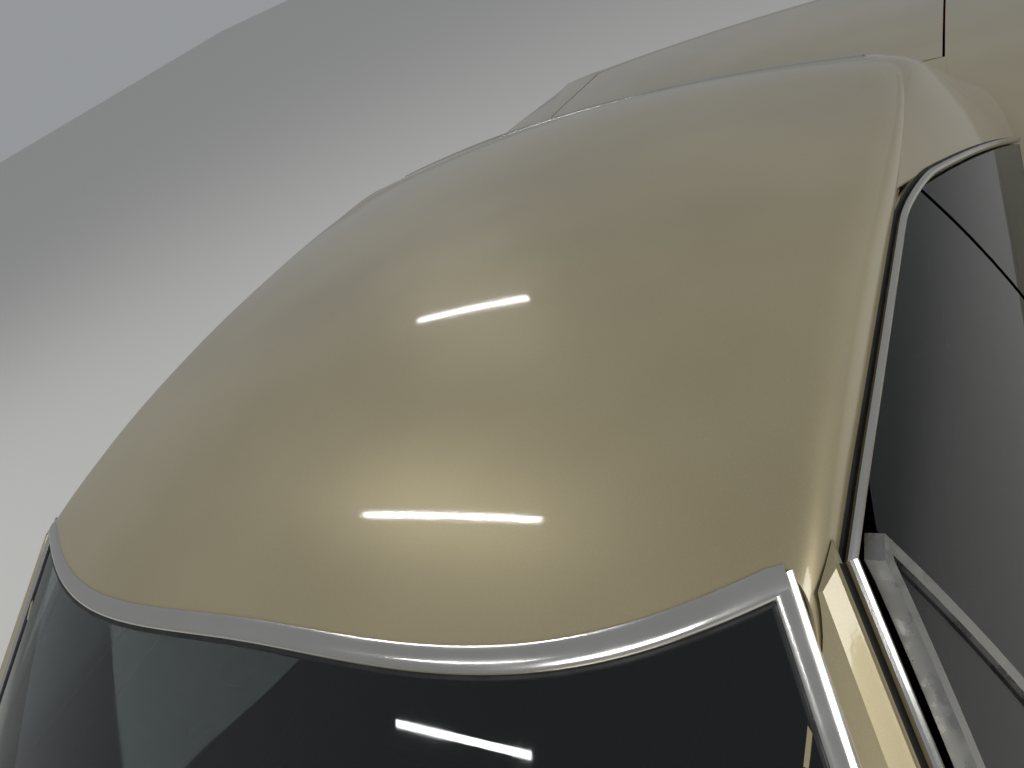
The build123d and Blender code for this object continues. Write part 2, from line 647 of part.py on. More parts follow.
def make_engine():
    """Engine and gearbox as plain blocks, standing on the cross member."""
    z0 = CROSSMEMBER_TOP + SEAT_GAP
    engine = box(-260, 260, -2040, -1130, z0, 770)
    return engine + box(-105, 105, -1135, -700, z0 + 10, 425)


def make_radiator(lid_seat):
    """Radiator in its support panel, which carries the shut hood."""
    rail_top = FRONT_RAIL_Z + FRAME_H / 2
    y0 = -2250
    panel = lid_seat & box(-690, 690, y0, y0 + 10, rail_top, 1000)
    panel -= box(-340, 340, y0 - 5, y0 + 15, 420, 790)
    return panel + box(-350, 350, y0 + 10, y0 + 66, 410, 800)


def arm_prism(base_y_half, tip_y_half, x0, z0, z1):
    points = [(x0, FRONT_AXLE_Y - base_y_half), (KINGPIN_X, FRONT_AXLE_Y - tip_y_half)]
    points += [(KINGPIN_X, FRONT_AXLE_Y + tip_y_half), (x0, FRONT_AXLE_Y + base_y_half)]
    arm = plan_prism(points, z0, z1)
    return arm + Pos(KINGPIN_X, FRONT_AXLE_Y, (z0 + z1) / 2) * Cylinder(24, z1 - z0)


def make_front_suspension():
    """Cross member, spring towers and both pairs of control arms."""
    y = FRONT_AXLE_Y
    half = box(-1, 540, y - 75, y + 75, KNUCKLE_BOTTOM_Z - 20, CROSSMEMBER_TOP)
    half += box(FRONT_WELL_IN + 2, 536, y - 70, y + 70, CROSSMEMBER_TOP - 1, 500)
    half += arm_prism(74, 20, 500, KNUCKLE_BOTTOM_Z - 20, KNUCKLE_BOTTOM_Z - SEAT_GAP)
    half += arm_prism(56, 20, 500, KNUCKLE_TOP_Z + SEAT_GAP, KNUCKLE_TOP_Z + 20)
    return half + mirrored(half)


def make_knuckle():
    """Left steering knuckle: upright on the kingpin line, brake drum and spindle."""
    y = FRONT_AXLE_Y
    knuckle = box(KINGPIN_X - 18, KINGPIN_X + 20, y - 24, y + 24, KNUCKLE_BOTTOM_Z, KNUCKLE_TOP_Z)
    knuckle += rod_x(DRUM_R, WHEEL_X - 17, WHEEL_X + 8, y, HUB_Z)
    knuckle += rod_x(50, KINGPIN_X, WHEEL_X, y, HUB_Z)
    return knuckle + rod_x(SPINDLE_R, KINGPIN_X, WHEEL_X + SPINDLE_END, y, HUB_Z)


def make_rear_axle():
    """Rear axle with differential, drums, springs, trailing arms and drive shaft."""
    y = REAR_AXLE_Y
    axle = rod_x(38, -WHEEL_X + 10, WHEEL_X - 10, y, HUB_Z) + Pos(0, y, HUB_Z) * Sphere(128)
    axle += rod_y(48, y - 200, y, 0, HUB_Z) + rod_y(34, -700 + SEAT_GAP, y - 190, 0, HUB_Z)
    half = rod_x(DRUM_R, WHEEL_X - 47, WHEEL_X + 8, y, HUB_Z)
    half += rod_x(SPINDLE_R, WHEEL_X - 10, WHEEL_X + SPINDLE_END, y, HUB_Z)
    spring_top = REAR_RAIL_Z - FRAME_H / 2 - SEAT_GAP
    half += Pos(REAR_RAIL_X, y, (HUB_Z + spring_top) / 2) * Cylinder(46, spring_top - HUB_Z)
    half += box(400, 440, ARM_FRONT_Y + SEAT_GAP, y, HUB_Z - 66, HUB_Z - 34)
    return axle + half + mirrored(half)


def make_exhaust():
    """Twin pipes with oval mufflers, from the engine to the tail, hung under three cross members."""
    path = FilletPolyline(*EXHAUST_LINE, radius=60)
    pipe = sweep(Plane(path @ 0, z_dir=path % 0) * Circle(28), path)
    muffler = Pos(EXHAUST_LINE[2][0], 480, EXHAUST_LINE[2][2]) * Rot(90, 0, 0) * extrude(
        Ellipse(92, 48), 260, both=True
    )
    exhaust = pipe + muffler
    for x, y, z, carrier_bottom in (
        (303, -600, 190, FRONT_MEMBER_Z[0]),
        (305, 920, 190, MIDDLE_MEMBER_Z[0]),
        (323, 2350, 236, END_MEMBER_Z[0]),
    ):
        exhaust += box(x - 12, x + 12, y - 14, y + 14, z, carrier_bottom - SEAT_GAP)
    return pair(exhaust)


def make_fuel_tank():
    tank = box(-250, 250, 1780, 2290, 216, TRUNK_FLOOR_Z - SKIN / 2 - SEAT_GAP)
    return fillet(tank.edges().filter_by(Axis.X), 24)


def make_tyre():
    """Tyre on the X axis: bead, bulging sidewall, shoulder and slightly crowned tread."""
    r = TYRE_R
    right = [
        Line((82, RIM_R + SEAT_GAP, 0), (82, 194, 0)),
        ThreePointArc((82, 194, 0), (TYRE_HALF, 258, 0), (90, r - 12, 0)),
        ThreePointArc((90, r - 12, 0), (86, r - 5, 0), (77, r - 2.5, 0)),
    ]
    crown = ThreePointArc((77, r - 2.5, 0), (0, r, 0), (-77, r - 2.5, 0))
    left = [
        ThreePointArc((-77, r - 2.5, 0), (-86, r - 5, 0), (-90, r - 12, 0)),
        ThreePointArc((-90, r - 12, 0), (-TYRE_HALF, 258, 0), (-82, 194, 0)),
        Line((-82, 194, 0), (-82, RIM_R + SEAT_GAP, 0)),
        Line((-82, RIM_R + SEAT_GAP, 0), (82, RIM_R + SEAT_GAP, 0)),
    ]
    return revolve(Face(Wire([*right, crown, *left])), Axis.X)


def revolved_x(points):
    """A solid turned about the X axis from a closed polygon of (x, radius) points."""
    return revolve(Face(Wire(Polyline([(x, r, 0) for x, r in points], close=True).edges())), Axis.X)


def make_rim():
    """Left wheel rim: drop-centre barrel with lips, dished slotted disc and hub."""
    r, w = RIM_R, RIM_HALF
    barrel = [(w, r + 5), (w, r + 11), (w - 6, r + 11), (w - 12, r), (12 - w, r), (6 - w, r + 11)]
    barrel += [(-w, r + 11), (-w, r + 5), (8 - w, r - 6), (w - 8, r - 6)]
    disc = [(15, BORE_R), (62, BORE_R), (62, 50), (50, 62), (36, 72), (30, 120), (42, r - 3), (34, r - 3)]
    disc += [(22, 120), (26, 70), (15, 60)]
    rim = revolved_x(barrel) + revolved_x(disc)
    slot = extrude(Pos(118, 0) * SlotOverall(62, 30, rotation=90), 100)
    for i in range(RIM_SLOTS):
        rim -= Rot(0, 90, 0) * Rot(0, 0, i * 360 / RIM_SLOTS) * slot
    return rim


def rounded_box(x0, x1, y0, y1, z0, z1, radius):
    block = box(x0, x1, y0, y1, z0, z1)
    return fillet(block.edges(), radius)


def make_front_seats():
    """Two bucket seats, each a cushion on its base with a raked back."""
    seat = rounded_box(150, 660, -330, 190, 330, 480, 36) + box(190, 620, -280, 150, FLOOR_Z + SKIN / 2, 340)
    back = Pos(405, 175, 470) * Rot(-14, 0, 0) * rounded_box(-250, 250, -65, 65, -40, 420, 36)
    return pair(seat + back)


def make_rear_seat():
    """Rear bench between the side walls, its back leaning on the bulkhead."""
    seat = rounded_box(-690, 690, 470, 870, 380, 520, 36) + box(-640, 640, 520, 870, FLOOR_Z + SKIN / 2, 400)
    back = Pos(0, 866, 474) * Rot(-18.2, 0, 0) * rounded_box(-640, 640, -60, 60, 0, 410, 36)
    return seat + back - box(-142, 142, 400, 900, 200, 458)


def make_bulkhead():
    """Panel behind the rear seat, running into the shelf under the backlight."""
    return side_prism(strip(SHELF_LINE, SKIN), -600, 600)


def make_dashboard(under_cowl):
    outline = [(-992, 640), (-992, 890), (-900, 912), (-765, 900), (-738, 862), (-748, 700), (-800, 640)]
    return side_prism(outline, -DASH_HALF, DASH_HALF) & under_cowl


def make_steering(dashboard):
    """Steering wheel with three spokes on its column."""
    tilt = Plane(origin=(380, -560, 815), z_dir=(0, 0.92, 0.39))
    wheel = tilt * Torus(196, 12)
    wheel += tilt * Pos(0, 0, -20) * Cylinder(42, 44)
    for angle in (90, 210, 330):
        spoke = Pos(100, 0, -4) * Box(190, 26, 9)
        wheel += tilt * Rot(0, 0, angle) * spoke
    column = tilt * Pos(0, 0, -140) * Cylinder(27, 230)
    return (wheel + column) - dashboard


def make_mirror(outer):
    """Round door mirror on its foot."""
    foot = Pos(868, -690, 900) * Cylinder(22, 60)
    stalk = box(860, 876, -698, -682, 915, 985)
    head = rod_y(52, -705, -672, 868, 992)
    return (foot + stalk + head) - outer


def export(name, shape):
    export_step(shape, f"parts/{name}.step")


def export_sides(name, shape):
    """A left-hand part and the same part for the right side."""
    export(f"{name}_left", shape)
    export(f"{name}_right", mirrored(shape))


def main():
    os.makedirs("parts", exist_ok=True)
    outer, inner = body_loft(), body_loft(SKIN)
    under_lid, lid_seat = body_loft(LID_THICK), body_loft(LID_THICK + SEAT_GAP)
    shell, lid_shell = outer - inner, outer - under_lid
    roof_filled = roof_loft()

    roof_core = roof_loft(ROOF_SKIN + SEAT_GAP, 60)
    export("roof", make_roof(roof_filled, roof_core))
    sail, deck = make_sails(outer, lid_shell, roof_filled)
    export("sail_panels", Compound(children=[*pair(sail).solids(), *deck.solids()]))
    export("cowl_and_pillars", make_cowl(outer, inner, lid_shell, roof_filled))
    export("nose_panel", make_nose(outer, inner))
    export("tail_panel", make_tail(outer, lid_seat))
    export("hood", make_hood(lid_shell))
    export("trunk_lid", make_trunk_lid(lid_shell))
    export_sides("fender", make_fender(shell))
    export_sides("quarter", make_quarter(outer, shell))
    export_sides("door", make_door(outer))
    export_sides("vent_frame", make_vent_frame())
    export_sides("door_glass", Compound(children=[*pane(VENT_PANE).solids(), *pane(DOOR_PANE).solids()]))

    above_glass = outer + (roof_filled - roof_core)
    export("windshield", lowest(glass_sheet(WINDSHIELD, 0, GLASS) - above_glass))
    backlight = lowest(glass_sheet(BACKLIGHT, -GLASS, 0) - above_glass)
    export("rear_windows", Compound(children=[backlight, *pair(pane(QUARTER_PANE)).solids()]))

    export("floor_pan", make_floor(outer, inner))
    export("wheelhouses", make_wheelhouses(inner))
    export("frame", make_frame())
    export("engine", make_engine())
    export("radiator", make_radiator(lid_seat))
    export("front_suspension", make_front_suspension())
    export("rear_axle", make_rear_axle())
    export("exhaust", make_exhaust())
    export("fuel_tank", make_fuel_tank())
    export_sides("knuckle", make_knuckle())

    tyre, rim = make_tyre(), make_rim()
    for name, side, y in (("fl", 1, FRONT_AXLE_Y), ("fr", -1, FRONT_AXLE_Y), ("rl", 1, REAR_AXLE_Y), ("rr", -1, REAR_AXLE_Y)):
        place = Pos(side * WHEEL_X, y, HUB_Z)
        export(f"tyre_{name}", place * tyre)
        export(f"rim_{name}", place * (rim if side > 0 else mirrored(rim)))

    front = (FRONT_BUMPER_FACE, FRONT_BUMPER_BACK, *FRONT_BUMPER_Z, FRONT_BRACKET, FRONT_RAIL_X)
    rear = (REAR_BUMPER_FACE, REAR_BUMPER_BACK, *REAR_BUMPER_Z, REAR_BRACKET, REAR_RAIL_X)
    export("bumper_front", make_bumper(*front))
    export("bumper_rear", make_bumper(*rear))
    export("grille", make_grille())
    export("headlamps", make_headlamps())
    export("tail_lamps", make_tail_lamps())

    dashboard = make_dashboard(under_lid)
    export("dashboard", dashboard)
    export("steering_wheel", make_steering(dashboard))
    export("front_seats", make_front_seats())
    export("rear_seat", make_rear_seat())
    export("rear_bulkhead", make_bulkhead())
    export("mirror", make_mirror(outer))


main()
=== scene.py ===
import sys
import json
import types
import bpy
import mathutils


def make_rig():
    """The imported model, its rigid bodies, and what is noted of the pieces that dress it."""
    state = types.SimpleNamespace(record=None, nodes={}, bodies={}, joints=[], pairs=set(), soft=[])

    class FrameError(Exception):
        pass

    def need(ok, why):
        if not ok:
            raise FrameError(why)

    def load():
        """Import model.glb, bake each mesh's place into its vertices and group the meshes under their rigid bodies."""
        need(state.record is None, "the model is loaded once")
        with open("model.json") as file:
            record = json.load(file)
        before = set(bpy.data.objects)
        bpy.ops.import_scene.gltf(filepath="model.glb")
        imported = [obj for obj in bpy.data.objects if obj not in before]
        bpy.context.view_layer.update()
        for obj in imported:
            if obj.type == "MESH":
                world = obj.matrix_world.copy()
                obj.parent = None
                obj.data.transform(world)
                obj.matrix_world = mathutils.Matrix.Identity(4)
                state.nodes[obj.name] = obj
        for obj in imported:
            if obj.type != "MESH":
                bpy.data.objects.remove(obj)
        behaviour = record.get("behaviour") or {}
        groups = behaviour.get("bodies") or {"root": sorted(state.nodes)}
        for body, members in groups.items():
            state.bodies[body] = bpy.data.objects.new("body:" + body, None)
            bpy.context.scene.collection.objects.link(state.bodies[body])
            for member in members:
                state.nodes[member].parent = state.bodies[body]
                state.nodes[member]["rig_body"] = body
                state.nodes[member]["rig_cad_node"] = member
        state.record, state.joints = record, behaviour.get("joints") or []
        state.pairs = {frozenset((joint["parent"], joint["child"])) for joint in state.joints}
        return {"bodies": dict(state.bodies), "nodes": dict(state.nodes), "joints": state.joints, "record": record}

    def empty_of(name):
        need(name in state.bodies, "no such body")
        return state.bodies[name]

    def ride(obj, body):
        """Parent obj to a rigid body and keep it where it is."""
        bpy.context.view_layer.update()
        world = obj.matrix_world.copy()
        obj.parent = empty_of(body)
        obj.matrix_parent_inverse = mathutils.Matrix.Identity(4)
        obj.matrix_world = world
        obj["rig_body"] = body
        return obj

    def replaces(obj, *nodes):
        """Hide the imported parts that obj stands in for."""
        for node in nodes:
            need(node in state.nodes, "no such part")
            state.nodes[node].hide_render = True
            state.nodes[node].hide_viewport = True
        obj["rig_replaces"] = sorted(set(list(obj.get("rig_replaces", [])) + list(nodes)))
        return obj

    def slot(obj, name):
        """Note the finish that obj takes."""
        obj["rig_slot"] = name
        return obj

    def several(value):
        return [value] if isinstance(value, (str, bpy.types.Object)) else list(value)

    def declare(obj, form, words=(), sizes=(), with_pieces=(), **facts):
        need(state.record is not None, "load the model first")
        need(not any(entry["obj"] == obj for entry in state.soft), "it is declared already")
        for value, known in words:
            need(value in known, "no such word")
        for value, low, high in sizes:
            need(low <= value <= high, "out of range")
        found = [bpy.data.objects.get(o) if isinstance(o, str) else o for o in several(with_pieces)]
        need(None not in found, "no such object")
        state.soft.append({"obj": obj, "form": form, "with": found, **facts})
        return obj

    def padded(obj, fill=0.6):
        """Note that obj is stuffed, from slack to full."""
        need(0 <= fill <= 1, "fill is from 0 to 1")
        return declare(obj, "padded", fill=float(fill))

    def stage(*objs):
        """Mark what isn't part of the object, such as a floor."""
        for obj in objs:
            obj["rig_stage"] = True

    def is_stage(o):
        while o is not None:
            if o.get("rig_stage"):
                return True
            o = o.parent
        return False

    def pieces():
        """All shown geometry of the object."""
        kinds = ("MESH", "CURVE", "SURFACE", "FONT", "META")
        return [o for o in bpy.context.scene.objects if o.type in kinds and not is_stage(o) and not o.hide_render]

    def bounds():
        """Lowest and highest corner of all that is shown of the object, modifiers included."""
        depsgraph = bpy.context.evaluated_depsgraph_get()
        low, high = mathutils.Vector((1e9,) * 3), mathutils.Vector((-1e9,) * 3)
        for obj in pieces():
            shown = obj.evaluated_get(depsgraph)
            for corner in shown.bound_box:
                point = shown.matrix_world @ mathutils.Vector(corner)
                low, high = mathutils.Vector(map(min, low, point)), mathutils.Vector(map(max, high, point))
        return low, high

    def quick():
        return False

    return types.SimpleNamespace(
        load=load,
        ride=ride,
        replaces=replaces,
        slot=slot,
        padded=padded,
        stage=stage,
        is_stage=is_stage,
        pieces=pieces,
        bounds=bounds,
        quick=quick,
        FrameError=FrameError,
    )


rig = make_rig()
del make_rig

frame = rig.load()

import json
import math

import bmesh
import bpy
import numpy as np
from mathutils import Matrix, Vector
from mathutils.bvhtree import BVHTree

bl_info = {
    "name": "Hardtop muscle car",
    "version": (1, 0, 0),
    "blender": (4, 5, 0),
    "location": "3D View > Sidebar > Hardtop",
    "description": "Trim, wheels, glazing, cabin and finishes of a two-door hardtop muscle car",
    "category": "Object",
}

# Metres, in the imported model's frame: +X is the car's left side, +Y its tail, +Z up.
CAD_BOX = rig.bounds()
MM = 0.001
SIDES = (("left", 1), ("right", -1))
ACROSS, TAILWARDS, UPWARDS = np.eye(3)
# The radius at which a turned shape closes on its axis
POLE = 0.0001
# Corners closer than this are one, and edges past this angle are sharp
SEAM, SHARP_DEGREES = 0.01 * MM, 35
# Where rays start: ahead or behind, beside, above, and inside under the roof and over the floor; their reach
FAR, OUTSIDE, ABOVE, UNDER_ROOF, OVER_FLOOR, REACH = 3.0, 1.2, 1.2, 1.0, 0.60, 5.0
SLOTS = {row["material_slot"] for row in frame["record"]["subparts"]}

# Probing

_trees = {}


def tree_from(mesh):
    """The search tree of a mesh's faces."""
    return BVHTree.FromPolygons([v.co for v in mesh.vertices], [p.vertices[:] for p in mesh.polygons])


def tree_of(node):
    """The search tree of a CAD node's faces, or of the skin that stands for it."""
    if node not in _trees:
        _trees[node] = tree_from(frame["nodes"][node].data)
    return _trees[node]


def ray(node, origin, direction):
    """The point and normal where a ray first meets a CAD node, or None twice."""
    where, normal, _, _ = tree_of(node).ray_cast(Vector(origin), Vector(direction), REACH)
    return (None, None) if where is None else (np.array(where), np.array(normal))


def first_hit(nodes, origin, direction):
    """The nearest point where a ray meets any of some CAD nodes, with its normal, or None twice."""
    best = (None, None)
    for node in nodes:
        where, normal = ray(node, origin, direction)
        if where is not None and (best[0] is None or (where - best[0]) @ np.asarray(direction) < 0):
            best = (where, normal)
    return best


def facing(node, origin, direction):
    """The point where a ray first meets a CAD node, and its normal turned against the ray."""
    where, normal = ray(node, origin, direction)
    return where, -normal * np.sign(normal @ np.asarray(direction, float))


def laid(nodes, starts, direction):
    """Each start's point and normal on the nodes along a direction; points that miss are left out."""
    hits = [first_hit(nodes, start, direction) for start in starts]
    points = np.array([where for where, _ in hits if where is not None]).reshape(-1, 3)
    normals = np.array([normal for where, normal in hits if where is not None]).reshape(-1, 3)
    return points, np.where(normals @ np.asarray(direction, float) > 0, -1, 1)[:, None] * normals


# Shapes: a shape is a pair of an array of corners and a list of face arrays


def grid_faces(rows, cols, wrap_rows=False, wrap_cols=False):
    """Quads between the corners of a grid, closed on itself where it wraps."""
    i, j = np.meshgrid(np.arange(rows - (not wrap_rows)), np.arange(cols - (not wrap_cols)), indexing="ij")
    below, beside = (i + 1) % rows, (j + 1) % cols
    quads = np.stack([i * cols + j, i * cols + beside, below * cols + beside, below * cols + j], axis=-1)
    return quads.reshape(-1, 4)


def end_caps(rows, cols):
    """The two faces that close a grid's first and last rows."""
    return [np.arange(cols)[None, ::-1], np.arange(cols)[None] + (rows - 1) * cols]


def joined(*shapes):
    """Several shapes as one."""
    points, faces, start = [], [], 0
    for corners, polygons in shapes:
        points.append(corners)
        faces += [f + start for f in polygons]
        start += len(corners)
    return np.concatenate(points), faces


def both(shape):
    """The shape and its mirror image on the car's other side."""
    points, faces = shape
    return joined(shape, (points * [-1, 1, 1], [f[:, ::-1] for f in faces]))


def unit(v):
    """Vectors at length 1."""
    v = np.asarray(v, float)
    return v / np.linalg.norm(v, axis=-1, keepdims=True)


def carried(path, up, side, profile, closed=False):
    """A profile carried along a path, side and up given: P(i, j) = path_i + a_j * side_i + b_j * up_i."""
    path, up, side = (np.asarray(v, float) for v in (path, up, side))
    a, b = np.asarray(profile, float).T
    points = path[:, None] + a[None, :, None] * side[:, None] + b[None, :, None] * up[:, None]
    n, m = points.shape[:2]
    return points.reshape(-1, 3), [grid_faces(n, m, closed, True), *([] if closed else end_caps(n, m))]


def profile_sweep(path, up, profile, closed=False):
    """A profile carried along a path, as in carried, where side is up x tangent."""
    path = np.asarray(path, float)
    up = np.broadcast_to(np.asarray(up, float), path.shape)
    tangent = np.roll(path, -1, axis=0) - np.roll(path, 1, axis=0) if closed else np.gradient(path, axis=0)
    side = unit(np.cross(up, unit(tangent)))
    return carried(path, unit(np.cross(unit(tangent), side)), side, profile, closed)


def on_surface(path, normal, profile, closed=False):
    """A strip laid on a surface: its profile's a runs across the path and b along the surface's normal."""
    return profile_sweep(path, normal, np.array(profile, float) * MM, closed)


def round_tube(path, radius, sides=12, up=(0, 0, 1), closed=False):
    """A round bar along a path."""
    angle = np.linspace(0, 2 * np.pi, sides, endpoint=False)
    return profile_sweep(path, up, np.stack([np.cos(angle), np.sin(angle)], 1) * radius, closed)


def turned(profile, centre, axis, steps=48, closed=False):
    """A profile of (along, radius) turned about an axis: P = centre + along * axis + radius * ring(t)."""
    axis = unit(axis)
    first = unit(np.cross(axis, UPWARDS if abs(axis[2]) < 0.9 else ACROSS))
    second = np.cross(axis, first)
    angle = np.linspace(0, 2 * np.pi, steps, endpoint=False)
    ring = np.cos(angle)[:, None] * first + np.sin(angle)[:, None] * second
    along, radius = np.asarray(profile, float).T
    points = np.asarray(centre) + along[None, :, None] * axis + radius[None, :, None] * ring[:, None]
    return points.reshape(-1, 3), [grid_faces(steps, len(along), True, closed)]


def rounded_box(centre, half, radius, axes=None, steps=3):
    """A box with rounded edges: P = centre + sign(n) * (half - r) + r * n for the directions n of a ball."""
    lon = np.concatenate([np.linspace(k, k + 1, steps + 1) for k in range(4)]) * np.pi / 2
    lon_sign = np.repeat([[1, 1], [-1, 1], [-1, -1], [1, -1]], steps + 1, axis=0)
    lat = np.concatenate([np.linspace(-1, 0, steps + 1), np.linspace(0, 1, steps + 1)]) * np.pi / 2
    lat_sign = np.repeat([-1, 1], steps + 1)
    flat = np.cos(lat)[:, None]
    n = np.stack([flat * np.cos(lon), flat * np.sin(lon), np.sin(lat)[:, None] + 0 * lon], -1)
    sign = np.stack(np.broadcast_arrays(lon_sign[None, :, 0], lon_sign[None, :, 1], lat_sign[:, None]), -1)
    local = sign * (np.asarray(half, float) - radius) + radius * n
    points = np.asarray(centre) + local @ (np.eye(3) if axes is None else np.asarray(axes, float))
    rows, cols = points.shape[:2]
    return points.reshape(-1, 3), [grid_faces(rows, cols, False, True), *end_caps(rows, cols)]


def sheet_between(points, thick):
    """A closed thin sheet from a grid of points (rows, columns, 3), thickened along its normals."""
    p = np.asarray(points, float)
    n, m = p.shape[:2]
    normal = unit(np.cross(np.gradient(p, axis=0), np.gradient(p, axis=1)))
    faces = grid_faces(n, m)
    last_row, last_column = (n - 1) * m, m - 1
    rim = [np.arange(m), np.arange(1, n) * m + last_column]
    rim += [last_row + np.arange(m - 2, -1, -1), np.arange(n - 2, 0, -1) * m]
    rim = np.concatenate(rim)
    ahead = np.roll(rim, -1)
    side = np.stack([rim, ahead, ahead + n * m, rim + n * m], 1)
    corners = np.concatenate([p.reshape(-1, 3), (p + normal * thick).reshape(-1, 3)])
    return corners, [faces, faces[:, ::-1] + n * m, side]


def smooth_line(points, count):
    """Catmull-Rom curve through points, cut into count steps of even parameter."""
    p = np.asarray(points, float)
    p = np.concatenate([2 * p[:1] - p[1:2], p, 2 * p[-1:] - p[-2:-1]])
    spans = len(p) - 3
    t = np.linspace(0, spans, count)
    k = np.minimum(t.astype(int), spans - 1)
    f = (t - k)[:, None]
    a, b, c, d = p[k], p[k + 1], p[k + 2], p[k + 3]
    return b + 0.5 * f * (c - a + f * (2 * a - 5 * b + 4 * c - d + f * (3 * (b - c) + d - a)))


def rounded_outline(x0, x1, z0, z1, radius):
    """Closed outline of a rectangle with rounded corners, as (x, z), with a point every 30 mm or so."""
    left, right, low, high = x0 + radius, x1 - radius, z0 + radius, z1 - radius
    corners = ((right, high), (left, high), (left, low), (right, low))
    p = []
    for i, corner in enumerate(corners):
        for a in (i + np.arange(7) / 6) * math.pi / 2:
            p.append(np.add(corner, (radius * math.cos(a), radius * math.sin(a))))
    out = []
    for a, b in zip(p, p[1:] + p[:1]):
        n = max(1, int(np.linalg.norm(b - a) / 0.03))
        out += [a + (b - a) * k / n for k in range(n)]
    return np.array(out)


def put(name, shape, body, finish, slot=None, sharp=SHARP_DEGREES):
    """Makes a piece of a shape, closes its seams, turns its faces outwards and sets it on its body.

    Its slot is the finish's own where the record has one by that name, unless another is given."""
    points, faces = shape
    mesh = bpy.data.meshes.new(name)
    loops = np.concatenate([f.ravel() for f in faces])
    totals = np.concatenate([np.full(len(f), f.shape[1]) for f in faces])
    starts = np.concatenate([[0], np.cumsum(totals)[:-1]])
    mesh.vertices.add(len(points))
    mesh.vertices.foreach_set("co", np.ascontiguousarray(points, float).ravel())
    mesh.loops.add(len(loops))
    mesh.loops.foreach_set("vertex_index", loops.astype(np.int32))
    mesh.polygons.add(len(totals))
    mesh.polygons.foreach_set("loop_start", starts.astype(np.int32))
    mesh.update(calc_edges=True)
    mesh.validate()
    work = bmesh.new()
    work.from_mesh(mesh)
    bmesh.ops.remove_doubles(work, verts=work.verts, dist=SEAM)
    bmesh.ops.dissolve_degenerate(work, dist=SEAM, edges=work.edges)
    bmesh.ops.recalc_face_normals(work, faces=work.faces)
    work.to_mesh(mesh)
    work.free()
    mesh.shade_smooth()
    mesh.set_sharp_from_angle(angle=math.radians(sharp))
    piece = bpy.data.objects.new(name, mesh)
    bpy.context.scene.collection.objects.link(piece)
    mesh.materials.append(finish_of(finish))
    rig.ride(piece, body)
    slot = slot or (finish if finish in SLOTS else None)
    if slot:
        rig.slot(piece, slot)
    return piece


# Materials


def linear(hex_colour):
    """An sRGB hex colour as linear RGBA."""
    value = np.array([int(hex_colour[i : i + 2], 16) for i in (1, 3, 5)]) / 255
    value = np.where(value <= 0.04045, value / 12.92, ((value + 0.055) / 1.055) ** 2.4)
    return (*value.tolist(), 1.0)


def add(tree, kind, inputs=None, stops=None, **settings):
    """Adds one node with its settings; an input takes a value, an output, or another node for its first."""
    node = tree.nodes.new(kind)
    for key, value in settings.items():
        setattr(node, key, value)
    for key, value in (inputs or {}).items():
        if isinstance(value, bpy.types.Node):
            value = value.outputs[0]
        if isinstance(value, bpy.types.NodeSocket):
            tree.links.new(value, node.inputs[key])
        else:
            node.inputs[key].default_value = value
    for i, (position, colour) in enumerate(stops or []):
        if i >= len(node.color_ramp.elements):
            node.color_ramp.elements.new(position)
        node.color_ramp.elements[i].position = position
        node.color_ramp.elements[i].color = linear(colour)
    return node


def new_material(name, colour, roughness, metallic=0.0, **sockets):
    """A material with its shader's own sockets set; returns it, its tree and its shader."""
    material = bpy.data.materials.new(name)
    material.use_nodes = True
    material.diffuse_color = linear(colour)
    tree = material.node_tree
    shader = tree.nodes["Principled BSDF"]
    values = {"Base Color": linear(colour), "Roughness": roughness, "Metallic": metallic}
    values.update({key.replace("_", " "): value for key, value in sockets.items()})
    for key, value in values.items():
        shader.inputs[key].default_value = value
    return material, tree, shader


def worn(tree, place, per_metre, low, high):
    """A slow change of a value over the surface, from low to high."""
    cloud = add(tree, "ShaderNodeTexNoise", {"Vector": place, "Scale": per_metre, "Detail": 4.0})
    settings = {"From Min": 0.35, "From Max": 0.65, "To Min": low, "To Max": high}
    return add(tree, "ShaderNodeMapRange", {"Value": cloud, **settings})


def grained(tree, place, per_metre, strength, depth, detail=2.0):
    """The normals of a fine random grain."""
    grain = add(tree, "ShaderNodeTexNoise", {"Vector": place, "Scale": per_metre, "Detail": detail})
    return add(tree, "ShaderNodeBump", {"Height": grain, "Strength": strength, "Distance": depth})


def clouded(tree, place, per_metre, detail, *stops):
    """A colour that drifts between two tones over the surface."""
    cloud = add(tree, "ShaderNodeTexNoise", {"Vector": place, "Scale": per_metre, "Detail": detail})
    return add(tree, "ShaderNodeValToRGB", {"Fac": cloud}, stops=stops)


def brushed(tree, place, stretch, detail):
    """The height of fine lines, as a noise stretched by its scale along each axis."""
    stretched = add(tree, "ShaderNodeMapping", {"Vector": place, "Scale": stretch})
    return add(tree, "ShaderNodeTexNoise", {"Vector": stretched, "Scale": 1.0, "Detail": detail})


FINISHES = {}


def finish(slot, colour, roughness, metallic=0.0, **sockets):
    """Lists a finish under its slot: the shader's plain values, and a function that adds the patterns.

    The function takes the material's tree and the Object coordinates and returns what drives each socket;
    its name is the material's. The colour is a hex colour or the name of one in HardtopSizes."""

    def listed(patterns):
        """Lists the function and gives it back."""
        FINISHES[slot] = patterns, colour, (roughness, metallic), sockets
        return patterns

    return listed


_made = {}


def finish_of(slot):
    """The material of a slot, made once."""
    if slot not in _made:
        patterns, colour, values, sockets = FINISHES[slot]
        colour = colour if colour.startswith("#") else getattr(bpy.context.scene.hardtop_sizes, colour)
        material, tree, shader = new_material(patterns.__name__, colour, *values, **sockets)
        place = add(tree, "ShaderNodeTexCoord").outputs["Object"]
        for key, source in patterns(tree, place).items():
            socket = source.outputs[0] if isinstance(source, bpy.types.Node) else source
            tree.links.new(socket, shader.inputs[key.replace("_", " ")])
        _made[slot] = material
    return _made[slot]


